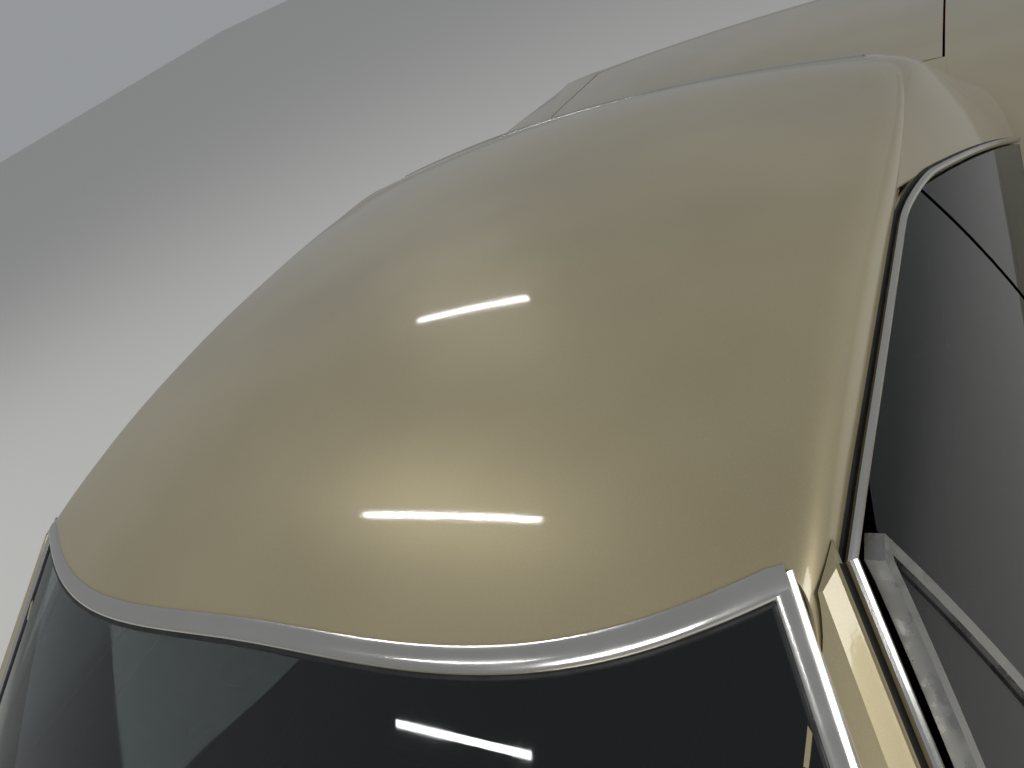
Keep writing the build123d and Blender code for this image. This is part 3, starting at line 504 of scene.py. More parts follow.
@finish("gold_paint", "paint_colour", 0.36, 0.5, Coat_Weight=1.0, Coat_Roughness=0.05)
def lacquer_metallic_gold(tree, place):
    """Sprayed acrylic lacquer in metallic champagne gold: fine aluminium flakes, drawn 0.5 mm wide so that
    they show close up, under a polished film with an orange peel of about 4 mm."""
    sizes = bpy.context.scene.hardtop_sizes
    flakes = add(tree, "ShaderNodeTexVoronoi", {"Vector": place, "Scale": 2000.0})
    level = add(tree, "ShaderNodeSeparateColor", {"Color": flakes.outputs["Color"]})
    glint = {"From Min": 0.8, "From Max": 1.0, "To Min": 0.0, "To Max": 0.1}
    glint = add(tree, "ShaderNodeMapRange", {"Value": level, **glint})
    tone = clouded(tree, place, 2.2, 3.0, (0.35, sizes.paint_shade), (0.65, sizes.paint_colour))
    mixed = {0: glint, 6: tone, 7: linear("#F1E7CB")}
    colour = add(tree, "ShaderNodeMix", mixed, data_type="RGBA", clamp_result=True)
    facets = add(tree, "ShaderNodeBump", {"Height": level, "Strength": 0.05, "Distance": 0.0004})
    peel = grained(tree, place, 240.0, 0.04, 0.0005, 1.0)
    return dict(Base_Color=colour.outputs[2], Normal=facets, Coat_Normal=peel)


@finish("chrome", "#D9DADB", 0.06, 1.0)
def chrome_plate(tree, place):
    """Copper, nickel and chrome plated steel, buffed before: a cold mirror with faint smears and pits."""
    pits = add(tree, "ShaderNodeTexVoronoi", {"Vector": place, "Scale": 160.0})
    spots = add(tree, "ShaderNodeMath", {0: pits.outputs["Distance"], 1: 0.06}, operation="LESS_THAN")
    bump = add(tree, "ShaderNodeBump", {"Height": spots, "Strength": 0.1, "Distance": 0.0002})
    return dict(Roughness=worn(tree, place, 9.0, 0.035, 0.12), Normal=bump)


@finish("stainless", "#C9C7C1", 0.16, 1.0)
def polished_stainless(tree, place):
    """Rolled and buffed stainless strip: warmer and duller than chrome, with haze and hairline scratches."""
    lines = brushed(tree, place, (900.0, 30.0, 900.0), 2.0)
    bump = add(tree, "ShaderNodeBump", {"Height": lines, "Strength": 0.05, "Distance": 0.0002})
    return dict(Roughness=worn(tree, place, 14.0, 0.12, 0.24), Normal=bump)


@finish("plated_zinc", "#9C9B97", 0.3, 1.0)
def dull_plated_zinc(tree, place):
    """Die-cast zinc whose chrome has clouded: grey, soft reflections, as the vent-window frame has."""
    grain = grained(tree, place, 500.0, 0.12, 0.0003)
    return dict(Roughness=worn(tree, place, 60.0, 0.2, 0.42), Normal=grain)


# The glass's dark colour is painted shade: it stands for the shaded cabin behind the panes.
@finish("glass", "#66736F", 0.0, Transmission_Weight=1.0, IOR=1.5)
def laminated_glass(tree, place):
    """Float glass, laminated or toughened, its green tint darkened far past faint as painted shade for the dark cabin
    seen through it; clear, with the lightest film of dust.
    """
    return dict(Roughness=worn(tree, place, 7.0, 0.0, 0.03))


@finish("lamp_glass", "#EEF3F4", 0.02, Transmission_Weight=0.85, IOR=1.5)
def pressed_lens_glass(tree, place):
    """Clear pressed glass of a sealed beam, fluted on the inside."""
    wave = {"Vector": place, "Scale": 22.0, "Distortion": 0.0}
    flutes = add(tree, "ShaderNodeTexWave", wave, bands_direction="X")
    return dict(Normal=add(tree, "ShaderNodeBump", {"Height": flutes, "Strength": 0.5, "Distance": 0.002}))


@finish("lamp_red", "#B3140F", 0.08, Transmission_Weight=0.35, IOR=1.49, Coat_Weight=0.6)
def moulded_red_acrylic(tree, place):
    """Injection-moulded red acrylic with reflex ribs 6 mm apart behind a glossy face."""
    wave = {"Vector": place, "Scale": 26.0, "Distortion": 0.0}
    ribs = add(tree, "ShaderNodeTexWave", wave, bands_direction="Z")
    return dict(Normal=add(tree, "ShaderNodeBump", {"Height": ribs, "Strength": 0.6, "Distance": 0.002}))


@finish("lamp_amber", "#B5611A", 0.12, Coat_Weight=0.6)
def moulded_amber_acrylic(tree, place):
    """Injection-moulded amber acrylic, with 8 mm ribs behind a glossy face."""
    ribs = add(tree, "ShaderNodeTexWave", {"Vector": place, "Scale": 20.0}, bands_direction="X")
    return dict(Normal=add(tree, "ShaderNodeBump", {"Height": ribs, "Strength": 0.3, "Distance": 0.001}))


@finish("tyre_rubber", "#222224", 0.72)
def vulcanised_tyre(tree, place):
    """Vulcanised tyre rubber: near black, matte, greyed by dust, with a fine mould grain."""
    tone = clouded(tree, place, 12.0, 5.0, (0.35, "#1B1B1D"), (0.7, "#302F2E"))
    grain = grained(tree, place, 700.0, 0.25, 0.0005, 4.0)
    return dict(Base_Color=tone, Roughness=worn(tree, place, 20.0, 0.62, 0.85), Normal=grain)


@finish("seal_rubber", "#121213", 0.55)
def extruded_rubber(tree, place):
    """Extruded black sealing rubber, satin from handling."""
    return dict(Roughness=worn(tree, place, 40.0, 0.42, 0.7), Normal=grained(tree, place, 900.0, 0.1, 0.0003))


@finish("wheel_paint", "#8E8F91", 0.35, 0.6, Coat_Weight=0.4)
def stove_enamel_wheel(tree, place):
    """Steel wheel in silver-grey stove enamel, slightly uneven from spraying."""
    grain = grained(tree, place, 400.0, 0.08, 0.0004)
    return dict(Roughness=worn(tree, place, 25.0, 0.28, 0.45), Normal=grain)


@finish("underbody_paint", "#1D1D1F", 0.6)
def satin_underbody_paint(tree, place):
    """Brushed-on black underbody paint over pressed steel, dusty in the hollows."""
    tone = clouded(tree, place, 8.0, 6.0, (0.4, "#171718"), (0.75, "#3A3733"))
    grain = grained(tree, place, 220.0, 0.2, 0.001, 4.0)
    return dict(Base_Color=tone, Roughness=worn(tree, place, 15.0, 0.45, 0.8), Normal=grain)


@finish("cast_iron", "#4A4643", 0.65, 0.5)
def sand_cast_iron(tree, place):
    """Sand-cast iron with a thin brown bloom and a grain of about 1 mm."""
    tone = clouded(tree, place, 18.0, 6.0, (0.4, "#3C3A38"), (0.7, "#5E4A3C"))
    return dict(Base_Color=tone, Normal=grained(tree, place, 800.0, 0.4, 0.001, 5.0))


@finish("engine_iron", "#38505F", 0.42, Coat_Weight=0.25)
def engine_enamel(tree, place):
    """Heat-proof blue-grey engine enamel sprayed on a sand casting, with oily darker patches."""
    tone = clouded(tree, place, 9.0, 6.0, (0.38, "#24333C"), (0.62, "#3F5A6A"))
    grain = grained(tree, place, 500.0, 0.3, 0.001, 4.0)
    return dict(Base_Color=tone, Roughness=worn(tree, place, 12.0, 0.32, 0.65), Normal=grain)


@finish("steel", "#8A8781", 0.45, 0.85)
def aluminised_steel(tree, place):
    """Hot-dipped aluminised steel pipe and sheet, dull grey with spangles and heat tint."""
    cells = add(tree, "ShaderNodeTexVoronoi", {"Vector": place, "Scale": 120.0}).outputs["Color"]
    tone = add(tree, "ShaderNodeValToRGB", {"Fac": cells}, stops=[(0.2, "#7C7770"), (0.9, "#9B9892")])
    return dict(Base_Color=tone, Roughness=worn(tree, place, 30.0, 0.35, 0.6))


@finish("anodised_aluminium", "#A9ABAE", 0.32, 1.0)
def anodised_aluminium(tree, place):
    """Satin anodised aluminium, brushed along X before anodising."""
    lines = brushed(tree, place, (14.0, 1200.0, 1200.0), 3.0)
    bump = add(tree, "ShaderNodeBump", {"Height": lines, "Strength": 0.08, "Distance": 0.0003})
    return dict(Roughness=worn(tree, place, 20.0, 0.26, 0.4), Normal=bump)


@finish("vinyl", "#25221F", 0.42, Sheen_Weight=0.1)
def embossed_vinyl(tree, place):
    """PVC-coated cloth embossed with a leather grain of 1.5 mm, black, with shine where it is sat on."""
    cells = add(tree, "ShaderNodeTexVoronoi", {"Vector": place, "Scale": 620.0}, feature="DISTANCE_TO_EDGE")
    bump = add(tree, "ShaderNodeBump", {"Height": cells, "Strength": 0.25, "Distance": 0.0006})
    return dict(Roughness=worn(tree, place, 12.0, 0.34, 0.52), Normal=bump)


@finish("dash_plastic", "#191919", 0.5)
def moulded_abs(tree, place):
    """Injection-moulded black ABS with a light spark-eroded grain."""
    grain = grained(tree, place, 1100.0, 0.2, 0.0003)
    return dict(Roughness=worn(tree, place, 18.0, 0.42, 0.6), Normal=grain)


@finish("wheel_plastic", "#101011", 0.18, Coat_Weight=0.5)
def glossy_phenolic(tree, place):
    """Compression-moulded phenolic, black and polished by hands."""
    return dict(Roughness=worn(tree, place, 25.0, 0.12, 0.28))


@finish("shelf_board", "#8E8C86", 0.95, Sheen_Weight=0.3)
def flocked_hardboard(tree, place):
    """Hardboard with a grey-white flock, speckled and matte."""
    tone = clouded(tree, place, 320.0, 4.0, (0.35, "#76736D"), (0.65, "#A5A29B"))
    return dict(Base_Color=tone, Normal=grained(tree, place, 500.0, 0.4, 0.0008, 3.0))


@finish("plate_enamel", "#D8D6CC", 0.35)
def stoved_plate_enamel(tree, place):
    """Pressed aluminium plate, stove-enamelled off-white and left blank."""
    grain = grained(tree, place, 300.0, 0.05, 0.0003)
    return dict(Roughness=worn(tree, place, 20.0, 0.28, 0.45), Normal=grain)


@finish("mirror", "#DDE1E0", 0.02, 1.0)
def silvered_glass(tree, place):
    """Back-silvered mirror glass, with the faintest haze."""
    return dict(Roughness=worn(tree, place, 30.0, 0.01, 0.05))


@finish("carpet", "#1D1B19", 0.97, Sheen_Weight=0.25)
def loop_carpet(tree, place):
    """Rayon loop-pile carpet, black, in loops of about 3 mm."""
    loops = add(tree, "ShaderNodeTexVoronoi", {"Vector": place, "Scale": 330.0})
    tone = add(tree, "ShaderNodeValToRGB", {"Fac": loops}, stops=[(0.0, "#2B2825"), (0.6, "#12110F")])
    bump = add(tree, "ShaderNodeBump", {"Height": loops, "Strength": 0.5, "Distance": 0.002})
    return dict(Base_Color=tone, Normal=bump)


@finish("headliner", "#3A3833", 0.7)
def perforated_headliner(tree, place):
    """Vinyl headlining in dark grey with 2 mm pinholes 12 mm apart."""
    holes = add(tree, "ShaderNodeTexVoronoi", {"Vector": place, "Scale": 85.0, "Randomness": 0.0})
    pin = add(tree, "ShaderNodeMath", {0: holes.outputs["Distance"], 1: 0.12}, operation="GREATER_THAN")
    return dict(Normal=add(tree, "ShaderNodeBump", {"Height": pin, "Strength": 0.4, "Distance": 0.0005}))


@finish("dial", "#D9D5C4", 0.6)
def printed_dial(tree, place):
    """Screen-printed dial face in matte off-white on black card."""
    return dict(Roughness=worn(tree, place, 60.0, 0.5, 0.7))


# Sizes and colours that a user would change


class HardtopSizes(bpy.types.PropertyGroup):
    """The paint, the lens and the floor"""

    paint_colour: bpy.props.StringProperty(
        name="Paint", description="Body colour, sRGB hex", default="#AB9F7D"
    )
    paint_shade: bpy.props.StringProperty(
        name="Paint shade", description="Darker cloud in the paint", default="#9D916F"
    )
    lens_mm: bpy.props.FloatProperty(
        name="Lens", description="Focal length on a 36 mm wide frame", default=27.4, min=10, max=200
    )
    floor_colour: bpy.props.StringProperty(
        name="Floor", description="Colour of the studio floor", default="#DDDBD6"
    )


# The camera that took the photograph: metres, then radians of heading, fall and tilt
CAMERA_PLACE = (0.7224, -0.7984, 1.8107)
CAMERA_YAW, CAMERA_PITCH, CAMERA_ROLL = -0.6803, 0.5629, -0.4827
SENSOR_MM = 36
NEAREST, FARTHEST = 0.02, 200
FLOOR_HALF, FLOOR_BELOW = 30, 0.0005
WORLD_COLOUR, WORLD_STRENGTH = "#C9CCD0", 0.52
# Lamps: where each stands, what it faces, its two sizes in metres, and its watts
LAMPS = {
    "tubes_fore": ((-1.1, -2.9, 3.6), (-1.1, -2.9, 0), (1.4, 0.05), 9),
    "tubes_mid": ((-1.6, 0.4, 4.0), (-1.6, 0.4, 0), (1.4, 0.05), 9),
    "tubes_aft": ((-2.9, 3.6, 4.2), (-2.9, 3.6, 0), (1.4, 0.05), 9),
    "soft_left": ((6.5, -1.0, 4.4), (0, 0, 0.6), (5.0, 2.5), 225),
    "soft_right": ((-6.5, -2.5, 4.4), (0, 0, 0.6), (4.0, 2.5), 110),
    "soft_nose": ((1.5, -7.0, 3.8), (0, -1, 0.6), (3.5, 2.0), 120),
}
# The lamp whose reflection would lay a bright wedge on the windshield
UNREFLECTED_LAMP = "soft_right"


class HARDTOP_OT_stage(bpy.types.Operator):
    """Pale floor, soft lamps and the camera at the photograph's angle"""

    bl_idname = "hardtop.stage"
    bl_label = "Studio and camera"

    def execute(self, context):
        sizes, scene = context.scene.hardtop_sizes, context.scene
        scene.view_settings.view_transform = "Standard"
        camera = bpy.data.objects.new("camera", bpy.data.cameras.new("camera"))
        scene.collection.objects.link(camera)
        scene.camera = camera
        camera.data.sensor_width, camera.data.lens = SENSOR_MM, sizes.lens_mm
        camera.data.clip_start, camera.data.clip_end = NEAREST, FARTHEST
        heading = np.array([math.sin(CAMERA_YAW), math.cos(CAMERA_YAW), 0])
        ahead = math.cos(CAMERA_PITCH) * heading - math.sin(CAMERA_PITCH) * UPWARDS
        right = unit(np.cross(ahead, UPWARDS))
        up = np.cross(right, ahead)
        turned_right = math.cos(CAMERA_ROLL) * right + math.sin(CAMERA_ROLL) * up
        turned_up = math.cos(CAMERA_ROLL) * up - math.sin(CAMERA_ROLL) * right
        columns = np.stack([turned_right, turned_up, -ahead], axis=1)
        camera.matrix_world = Matrix.Translation(CAMERA_PLACE) @ Matrix(columns.tolist()).to_4x4()

        mesh = bpy.data.meshes.new("floor")
        corners = [(x * FLOOR_HALF, y * FLOOR_HALF, 0) for x, y in ((-1, -1), (1, -1), (1, 1), (-1, 1))]
        mesh.from_pydata(corners, [], [[0, 1, 2, 3]])
        mesh.materials.append(new_material("studio_floor", sizes.floor_colour, 0.7)[0])
        ground = bpy.data.objects.new("floor", mesh)
        ground.location.z = -FLOOR_BELOW
        scene.collection.objects.link(ground)
        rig.stage(ground)

        for name, (where, aim, size, power) in LAMPS.items():
            data = bpy.data.lights.new(name, "AREA")
            data.shape, data.size, data.size_y, data.energy = "RECTANGLE", *size, power
            lamp = bpy.data.objects.new(name, data)
            lamp.location = where
            lamp.rotation_euler = (Vector(aim) - Vector(where)).to_track_quat("-Z", "Y").to_euler()
            lamp.visible_glossy = name != UNREFLECTED_LAMP
            scene.collection.objects.link(lamp)

        scene.world = bpy.data.worlds.new("studio")
        scene.world.use_nodes = True
        background = scene.world.node_tree.nodes["Background"].inputs
        background["Color"].default_value = linear(WORLD_COLOUR)
        background["Strength"].default_value = WORLD_STRENGTH
        return {"FINISHED"}


# CAD nodes shown in another finish than their slot's, by how their names start
OTHER_FINISH = {"vent_frame": "plated_zinc"}


class HARDTOP_OT_finishes(bpy.types.Operator):
    """Gives every CAD node its finish"""

    bl_idname = "hardtop.finishes"
    bl_label = "Finishes of the solids"

    def execute(self, context):
        for row in frame["record"]["subparts"]:
            materials = frame["nodes"][row["node"]].data.materials
            materials.clear()
            others = [look for start, look in OTHER_FINISH.items() if row["node"].startswith(start)]
            materials.append(finish_of((others or [row["material_slot"]])[0]))
        return {"FINISHED"}


# Glazing surfaces of the solids, repeated from their source in metres


class GlassLine:
    """One line of a ruled glass: its height, its end in the plan, its middle's y and how squarely it bows."""

    def __init__(self, z, end_x, end_y, mid_y, power):
        """Keeps the line's sizes."""
        self.z, self.end_x, self.end_y, self.mid_y, self.power = z, end_x, end_y, mid_y, power


WINDSHIELD = (GlassLine(0.9, 0.756, -0.868, -1.08, 2.4), GlassLine(1.4, 0.495, -0.227, -0.319, 3.4))
BACKLIGHT = (GlassLine(0.9, 0.64, 1.29, 1.385, 2.2), GlassLine(1.3, 0.53, 0.69, 0.756, 2.4))
SIDE_GLASS = ((0.828, 0.835), (0.728, 1.046), (0.6, 1.236))
GLASS_THICK = 0.005
AHEAD_AND_UP, BEHIND_AND_UP = (0, -1, 0.5), (0, 1, 0.5)


def on_glass(lines, t, z):
    """A point of a ruled glass: lines at (t end_x, mid_y + (end_y - mid_y) |t|^power), mixed by height."""
    t, z = np.broadcast_arrays(np.asarray(t, float), np.asarray(z, float))
    k = ((z - lines[0].z) / (lines[1].z - lines[0].z))[..., None]
    ends = []
    for line in lines:
        y = line.mid_y + (line.end_y - line.mid_y) * np.abs(t) ** line.power
        ends.append(np.stack([t * line.end_x, y, np.full_like(t, line.z)], -1))
    return ends[0] * (1 - k) + ends[1] * k


def glass_share(lines, x, z):
    """The t of a point of a ruled glass: x over the glass's half width at its height."""
    k = (z - lines[0].z) / (lines[1].z - lines[0].z)
    return x / (lines[0].end_x + k * (lines[1].end_x - lines[0].end_x))


def glass_normal(lines, t, z, outward):
    """Unit normal of a ruled glass on its outer side, from its two partial slopes."""
    across = on_glass(lines, np.asarray(t) + 1e-3, z) - on_glass(lines, np.asarray(t) - 1e-3, z)
    rising = on_glass(lines, t, np.asarray(z) + 1e-3) - on_glass(lines, t, z)
    normal = unit(np.cross(across, rising))
    return normal * np.sign(normal @ np.asarray(outward, float))[..., None]


def side_glass_x(z):
    """Half width of the side glass at a height: a circle through its foot, middle and top."""
    (x0, z0), (x1, z1), (x2, z2) = SIDE_GLASS
    m = np.array([[x1 - x0, z1 - z0], [x2 - x0, z2 - z0]]) * 2
    c = np.linalg.solve(m, [x1**2 - x0**2 + z1**2 - z0**2, x2**2 - x0**2 + z2**2 - z0**2])
    return c[0] + np.sqrt(math.hypot(x0 - c[0], z0 - c[1]) ** 2 - (np.asarray(z) - c[1]) ** 2)


def on_side_glass(y, z):
    """Points laid on the left side glass."""
    return np.stack([side_glass_x(z), y, z], -1)


# Roof stations: y, height of the crown, x and z of the knee, x and z of the drip line, in millimetres
ROOF = (
    (-580, 1256, 530, 1222, 572, 1180), (-400, 1302, 547, 1272, 592, 1238),
    (-250, 1326, 554, 1295, 600, 1249), (0, 1343, 562, 1308, 611, 1252),
    (250, 1341, 566, 1302, 620, 1252), (500, 1327, 562, 1286, 622, 1246),
    (700, 1304, 550, 1263, 614, 1222), (830, 1277, 530, 1232, 602, 1185),
    (960, 1240, 505, 1190, 585, 1130),
)
# Flank stations: y, x and z of its top, x and z of its roll, x of its foot at FLANK_FOOT, in millimetres
FLANK = (
    (180, 566, 1303, 619, 1252, 828), (330, 565, 1298, 620, 1251, 828), (500, 562, 1286, 622, 1246, 828),
    (700, 556, 1262, 628, 1222, 828), (830, 566, 1213, 640, 1180, 828), (960, 590, 1127, 664, 1100, 827),
    (1100, 616, 1034, 700, 1010, 824), (1250, 644, 940, 740, 925, 818), (1400, 668, 870, 770, 866, 806),
    (1660, 690, 868, 770, 864, 806),
)
FLANK_FOOT, FLANK_REAR = 0.858, 1.62
# Where the roof's front and rear edges are looked for along y, and how far behind the glass they end
FRONT_SPAN, REAR_SPAN = (-0.58, 0.1, -0.003), (0.4, 0.955, 0.003)
# Shares of the way across at which the roof's crown gives way to its roll, and the roll to its lip
ROOF_KNEE, ROOF_DRIP, ROOF_LIP = 0.6, 0.95, 0.014
FLANK_ROLL, FLANK_TOP, FLANK_GLASS = 0.55, 0.85, 0.9
DECK_REAR, DECK_HALF, DECK_SOLID_HALF = 1.413, 0.655, 0.62
SKIN = 0.004
SAIL_SKIN, RETURN_SKIN = 0.003, 0.002


def stations(table, y):
    """A table's columns at y, in metres: a cubic between two rows, with slopes from the rows beside them."""
    rows = np.array(table) * MM
    slopes = np.gradient(rows[:, 1:], rows[:, 0], axis=0)
    k = np.clip(np.searchsorted(rows[:, 0], y) - 1, 0, len(rows) - 2)
    step = (rows[k + 1, 0] - rows[k, 0])[..., None]
    u = np.clip((y - rows[k, 0])[..., None] / step, 0, 1)
    low, high = rows[k, 1:], rows[k + 1, 1:]
    bend = step * u * (1 - u) * ((1 - u) * slopes[k] - u * slopes[k + 1])
    return np.moveaxis(low + (high - low) * (u * u * (3 - 2 * u)) + bend, -1, 0)


def shares(s, *ends):
    """How far s is through each stretch between 0 and the given ends, from 0 to 1."""
    return [np.clip((s - start) / (end - start), 0, 1) for start, end in zip((0, *ends), ends)]


def cut(*stretches):
    """Shares along stretches, each given by its first and last share and its count of points."""
    return np.concatenate([np.linspace(*stretch) for stretch in stretches])


def roof_point(s, y):
    """The roof's skin: z = crown - (crown - knee) a^2 across, then a Bezier from knee to drip line."""
    crown, knee_x, knee_z, drip_x, drip_z = stations(ROOF, y)
    a, b, c = shares(s, ROOF_KNEE, ROOF_DRIP, 1)
    turn_x = drip_x - 0.18 * (knee_z - drip_z)
    turn_z = knee_z + 2 * (knee_z - crown) / knee_x * (turn_x - knee_x)
    mix = np.stack([(1 - b) ** 2, 2 * b * (1 - b), b * b])
    roll_x, roll_z = (mix * np.stack([(knee_x, turn_x, drip_x), (knee_z, turn_z, drip_z)])).sum(1)
    x = np.where(s < ROOF_KNEE, knee_x * a, roll_x)
    z = np.where(s < ROOF_KNEE, crown + (knee_z - crown) * a * a, roll_z) - ROOF_LIP * c
    return np.stack([x, y, z], -1)


def flank_point(q, y):
    """The roof's side: a bowed line from foot to roll, a bowed turn to its top, a lip to the backlight."""
    top_x, top_z, roll_x, roll_z, foot_x = stations(FLANK, y)
    a, b, c, d = shares(q, FLANK_ROLL, FLANK_TOP, FLANK_GLASS, 1)
    side_x = foot_x + (roll_x - foot_x) * a + 4 * a * (1 - a) * 0.005
    side_z = FLANK_FOOT + (roll_z - FLANK_FOOT) * a
    turn_x = roll_x + (top_x - roll_x) * b + 4 * b * (1 - b) * 0.0032
    turn_z = roll_z + (top_z - roll_z) * b + 4 * b * (1 - b) * 0.008
    x, z = np.where(q < FLANK_ROLL, side_x, turn_x), np.where(q < FLANK_ROLL, side_z, turn_z)
    low, high = BACKLIGHT
    k = np.clip((low.end_y - y) / (low.end_y - high.end_y), 0, 1)
    glass_x = low.end_x + k * (high.end_x - low.end_x) - 0.002
    glass_z = np.minimum(low.z + k * (high.z - low.z), top_z) - 0.004
    x = np.where(c > 0, x + (np.minimum(glass_x, top_x - 0.004) - x) * c, x)
    z = np.where(c > 0, z + (glass_z - z) * c, z) - 0.02 * d
    return np.stack([x, y, z], -1)


def roof_edge(s, lines, low, high, gap):
    """Where the roof's skin ends gap behind a glass, for each s, found by halving."""
    low, high = np.full_like(s, low), np.full_like(s, high)
    for _ in range(30):
        y = (low + high) / 2
        x, _, z = roof_point(s, y).T
        past = y > on_glass(lines, np.minimum(glass_share(lines, x, z), 1), z)[:, 1] + gap
        low, high = np.where(past, low, y), np.where(past, y, high)
    return y


def roof_head(lines, low, high, gap, count=41, reach=0.996):
    """The roof's edge over a glass as t and z, at even steps along it from the right end to the left."""
    s = np.linspace(0, ROOF_DRIP, 500)
    edge = roof_point(s, roof_edge(s, lines, low, high, gap))
    t = glass_share(lines, edge[:, 0], edge[:, 2])
    edge, t = edge[t < reach], t[t < reach]
    run = np.concatenate([[0], np.cumsum(np.linalg.norm(np.diff(edge, axis=0), axis=1))])
    even = np.linspace(0, run[-1], count)
    t, z = np.interp(even, run, t), np.interp(even, run, edge[:, 2])
    return np.concatenate([-t[:0:-1], t]), np.concatenate([z[:0:-1], z])


def sail_line(z):
    """The sail panel's front edge: y = 0.213 + 0.987 u - 0.182 u^2 for u = (1.262 - z) / 0.372."""
    u = (1.262 - z) / 0.372
    return 0.213 + 0.987 * u - 0.182 * u * u


def sail_edge(q):
    """Where the flank meets the sail panel's front edge, for each q, by closing in on it forty times."""
    y = np.full_like(q, 0.6)
    for _ in range(40):
        y = (y + sail_line(flank_point(q, y)[:, 2])) / 2
    return y


def deck_strip():
    """The deck between the backlight's foot and the lid, carried on from the solid's slope beside the lid."""
    rows = []
    for x in np.linspace(-DECK_HALF, DECK_HALF, 67):
        over = np.clip(x, -DECK_SOLID_HALF, DECK_SOLID_HALF)
        starts = [(over, DECK_REAR - back, ABOVE) for back in (0.003, 0.013)]
        near, far = (ray("sail_panels", start, -UPWARDS)[0] for start in starts)
        if near is not None and far is not None and abs(near[2] - far[2]) < 0.004:
            front = on_glass(BACKLIGHT, np.clip(x / BACKLIGHT[0].end_x, -1, 1), 0.95)[1] + 0.002
            y = np.linspace(front, DECK_REAR, 9)
            z = near[2] + (y - near[1]) * (far[2] - near[2]) / (far[1] - near[1])
            rows.append(np.stack([np.full(9, x), y, z], 1))
    return sheet_between(np.array(rows), -SKIN)


class HARDTOP_OT_roof_skins(bpy.types.Operator):
    """The roof's skin, and the sail panels with their return along the quarter window, as closed sheets"""

    bl_idname = "hardtop.roof_skins"
    bl_label = "Roof and sail panels"

    def execute(self, context):
        half = cut((0, ROOF_KNEE, 36), (0.615, ROOF_DRIP, 22), (0.962, 1, 4))
        s = np.concatenate([-half[:0:-1], half])
        front = roof_edge(np.abs(s), WINDSHIELD, *FRONT_SPAN)
        rear = roof_edge(np.abs(s), BACKLIGHT, *REAR_SPAN)
        rows = np.linspace(0, 1, 80)[:, None]
        grid = roof_point(np.broadcast_to(np.abs(s), (80, len(s))), front + rows * (rear - front))
        grid[..., 0] *= np.sign(s)
        q = cut((0, FLANK_ROLL, 26), (0.565, FLANK_TOP, 16), (0.87, 1, 6))
        rows = np.linspace(0, 1, 90)[:, None] ** 1.2
        edge = sail_edge(q)
        side = flank_point(np.broadcast_to(q, (90, len(q))), edge + rows * (FLANK_REAR - edge))
        lip = side[0, q <= FLANK_TOP]
        turned_in = np.stack([lip, lip + (-0.010, 0.001, 0), lip + (-0.026, 0.003, 0)])
        sails = both(joined(sheet_between(side, -SAIL_SKIN), sheet_between(turned_in, RETURN_SKIN)))
        for name, shape, node in (
            ("roof_skin", sheet_between(grid, SKIN), "roof"),
            ("sail_skins", joined(sails, deck_strip()), "sail_panels"),
        ):
            piece = put(name, shape, "body", "gold_paint")
            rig.replaces(piece, node)
            _trees[node] = tree_from(piece.data)
        return {"FINISHED"}


# The door pane's rear, front and top edges, and the vent pane's front and rear edges, as (y, z) in metres
PANE_FOOT = 0.860
DOOR_PANE_REAR = ((0.284, PANE_FOOT), (0.303, 0.930), (0.352, 1.231))
DOOR_PANE_FRONT = ((-0.407, PANE_FOOT), (-0.307, 1.212))
DOOR_PANE_TOP = ((-0.307, 1.212), (-0.250, 1.223), (0.0, 1.231), (0.352, 1.231))
VENT_PANE_FRONT, VENT_PANE_REAR = ((-0.763, 0.915), (-0.333, 1.200)), ((-0.412, 0.900), (-0.326, 1.203))
PANE_GAP = 0.014
HEADER_LAP = 0.004


def door_pane():
    """The left door's pane, its upper rear corner cut along the sail panel's front edge less PANE_GAP."""
    rows, columns = np.linspace(0, 1, 30)[:, None], np.linspace(0, 1, 40)
    rear, front, top = (np.array(edge) for edge in (DOOR_PANE_REAR, DOOR_PANE_FRONT, DOOR_PANE_TOP))
    along_top = top[0, 0] + columns * (top[-1, 0] - top[0, 0])
    z = PANE_FOOT + rows * (np.interp(along_top, top[:, 0], top[:, 1]) - PANE_FOOT)
    ahead = np.interp(z, front[:, 1], front[:, 0])
    back = np.minimum(np.interp(z, rear[:, 1], rear[:, 0]), sail_line(z) - PANE_GAP)
    return on_side_glass(ahead + columns * (back - ahead), z)


def vent_pane():
    """The left vent's pane between its sloping front edge and the divider bar."""
    rows, columns = np.linspace(0, 1, 30)[:, None], np.linspace(0, 1, 20)
    ends = zip(*VENT_PANE_FRONT, *VENT_PANE_REAR)
    sides = [(a * (1 - rows) + b * rows, c * (1 - rows) + d * rows) for a, b, c, d in ends]
    return on_side_glass(*[front * (1 - columns) + rear * columns for front, rear in sides])


class HARDTOP_OT_panes(bpy.types.Operator):
    """The windshield under the roof's skin, and the door and vent panes, as closed sheets of glass"""

    bl_idname = "hardtop.panes"
    bl_label = "Windshield and door glass"

    def execute(self, context):
        t, head = roof_head(WINDSHIELD, *FRONT_SPAN, reach=0.999)
        across = np.sin(np.linspace(-1, 1, 61) * math.pi / 2) * 0.998
        below, above = on_glass(WINDSHIELD, across, 0.85), on_glass(WINDSHIELD, across, 1.1)
        starts = below + (0, GLASS_THICK / 2, 0)
        foot = np.array([ray("windshield", a, unit(b))[0][2] for a, b in zip(starts, above - below)])
        z = foot + np.linspace(0, 1, 26)[:, None] * (np.interp(across, t, head) - HEADER_LAP - foot)
        sheet = on_glass(WINDSHIELD, np.broadcast_to(across, z.shape), z)
        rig.replaces(put("windshield_pane", sheet_between(sheet, GLASS_THICK), "body", "glass"), "windshield")
        points, faces = joined(*[sheet_between(grid, GLASS_THICK) for grid in (door_pane(), vent_pane())])
        for name, side in SIDES:
            pane = put(f"door_pane_{name}", (points * (side, 1, 1), faces), f"door_{name}", "glass")
            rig.replaces(pane, f"door_glass_{name}")
        return {"FINISHED"}


def strip(*points):
    """A section in metres from points in millimetres: across and outwards, or along an axis and radius."""
    return np.array(points, float) * MM


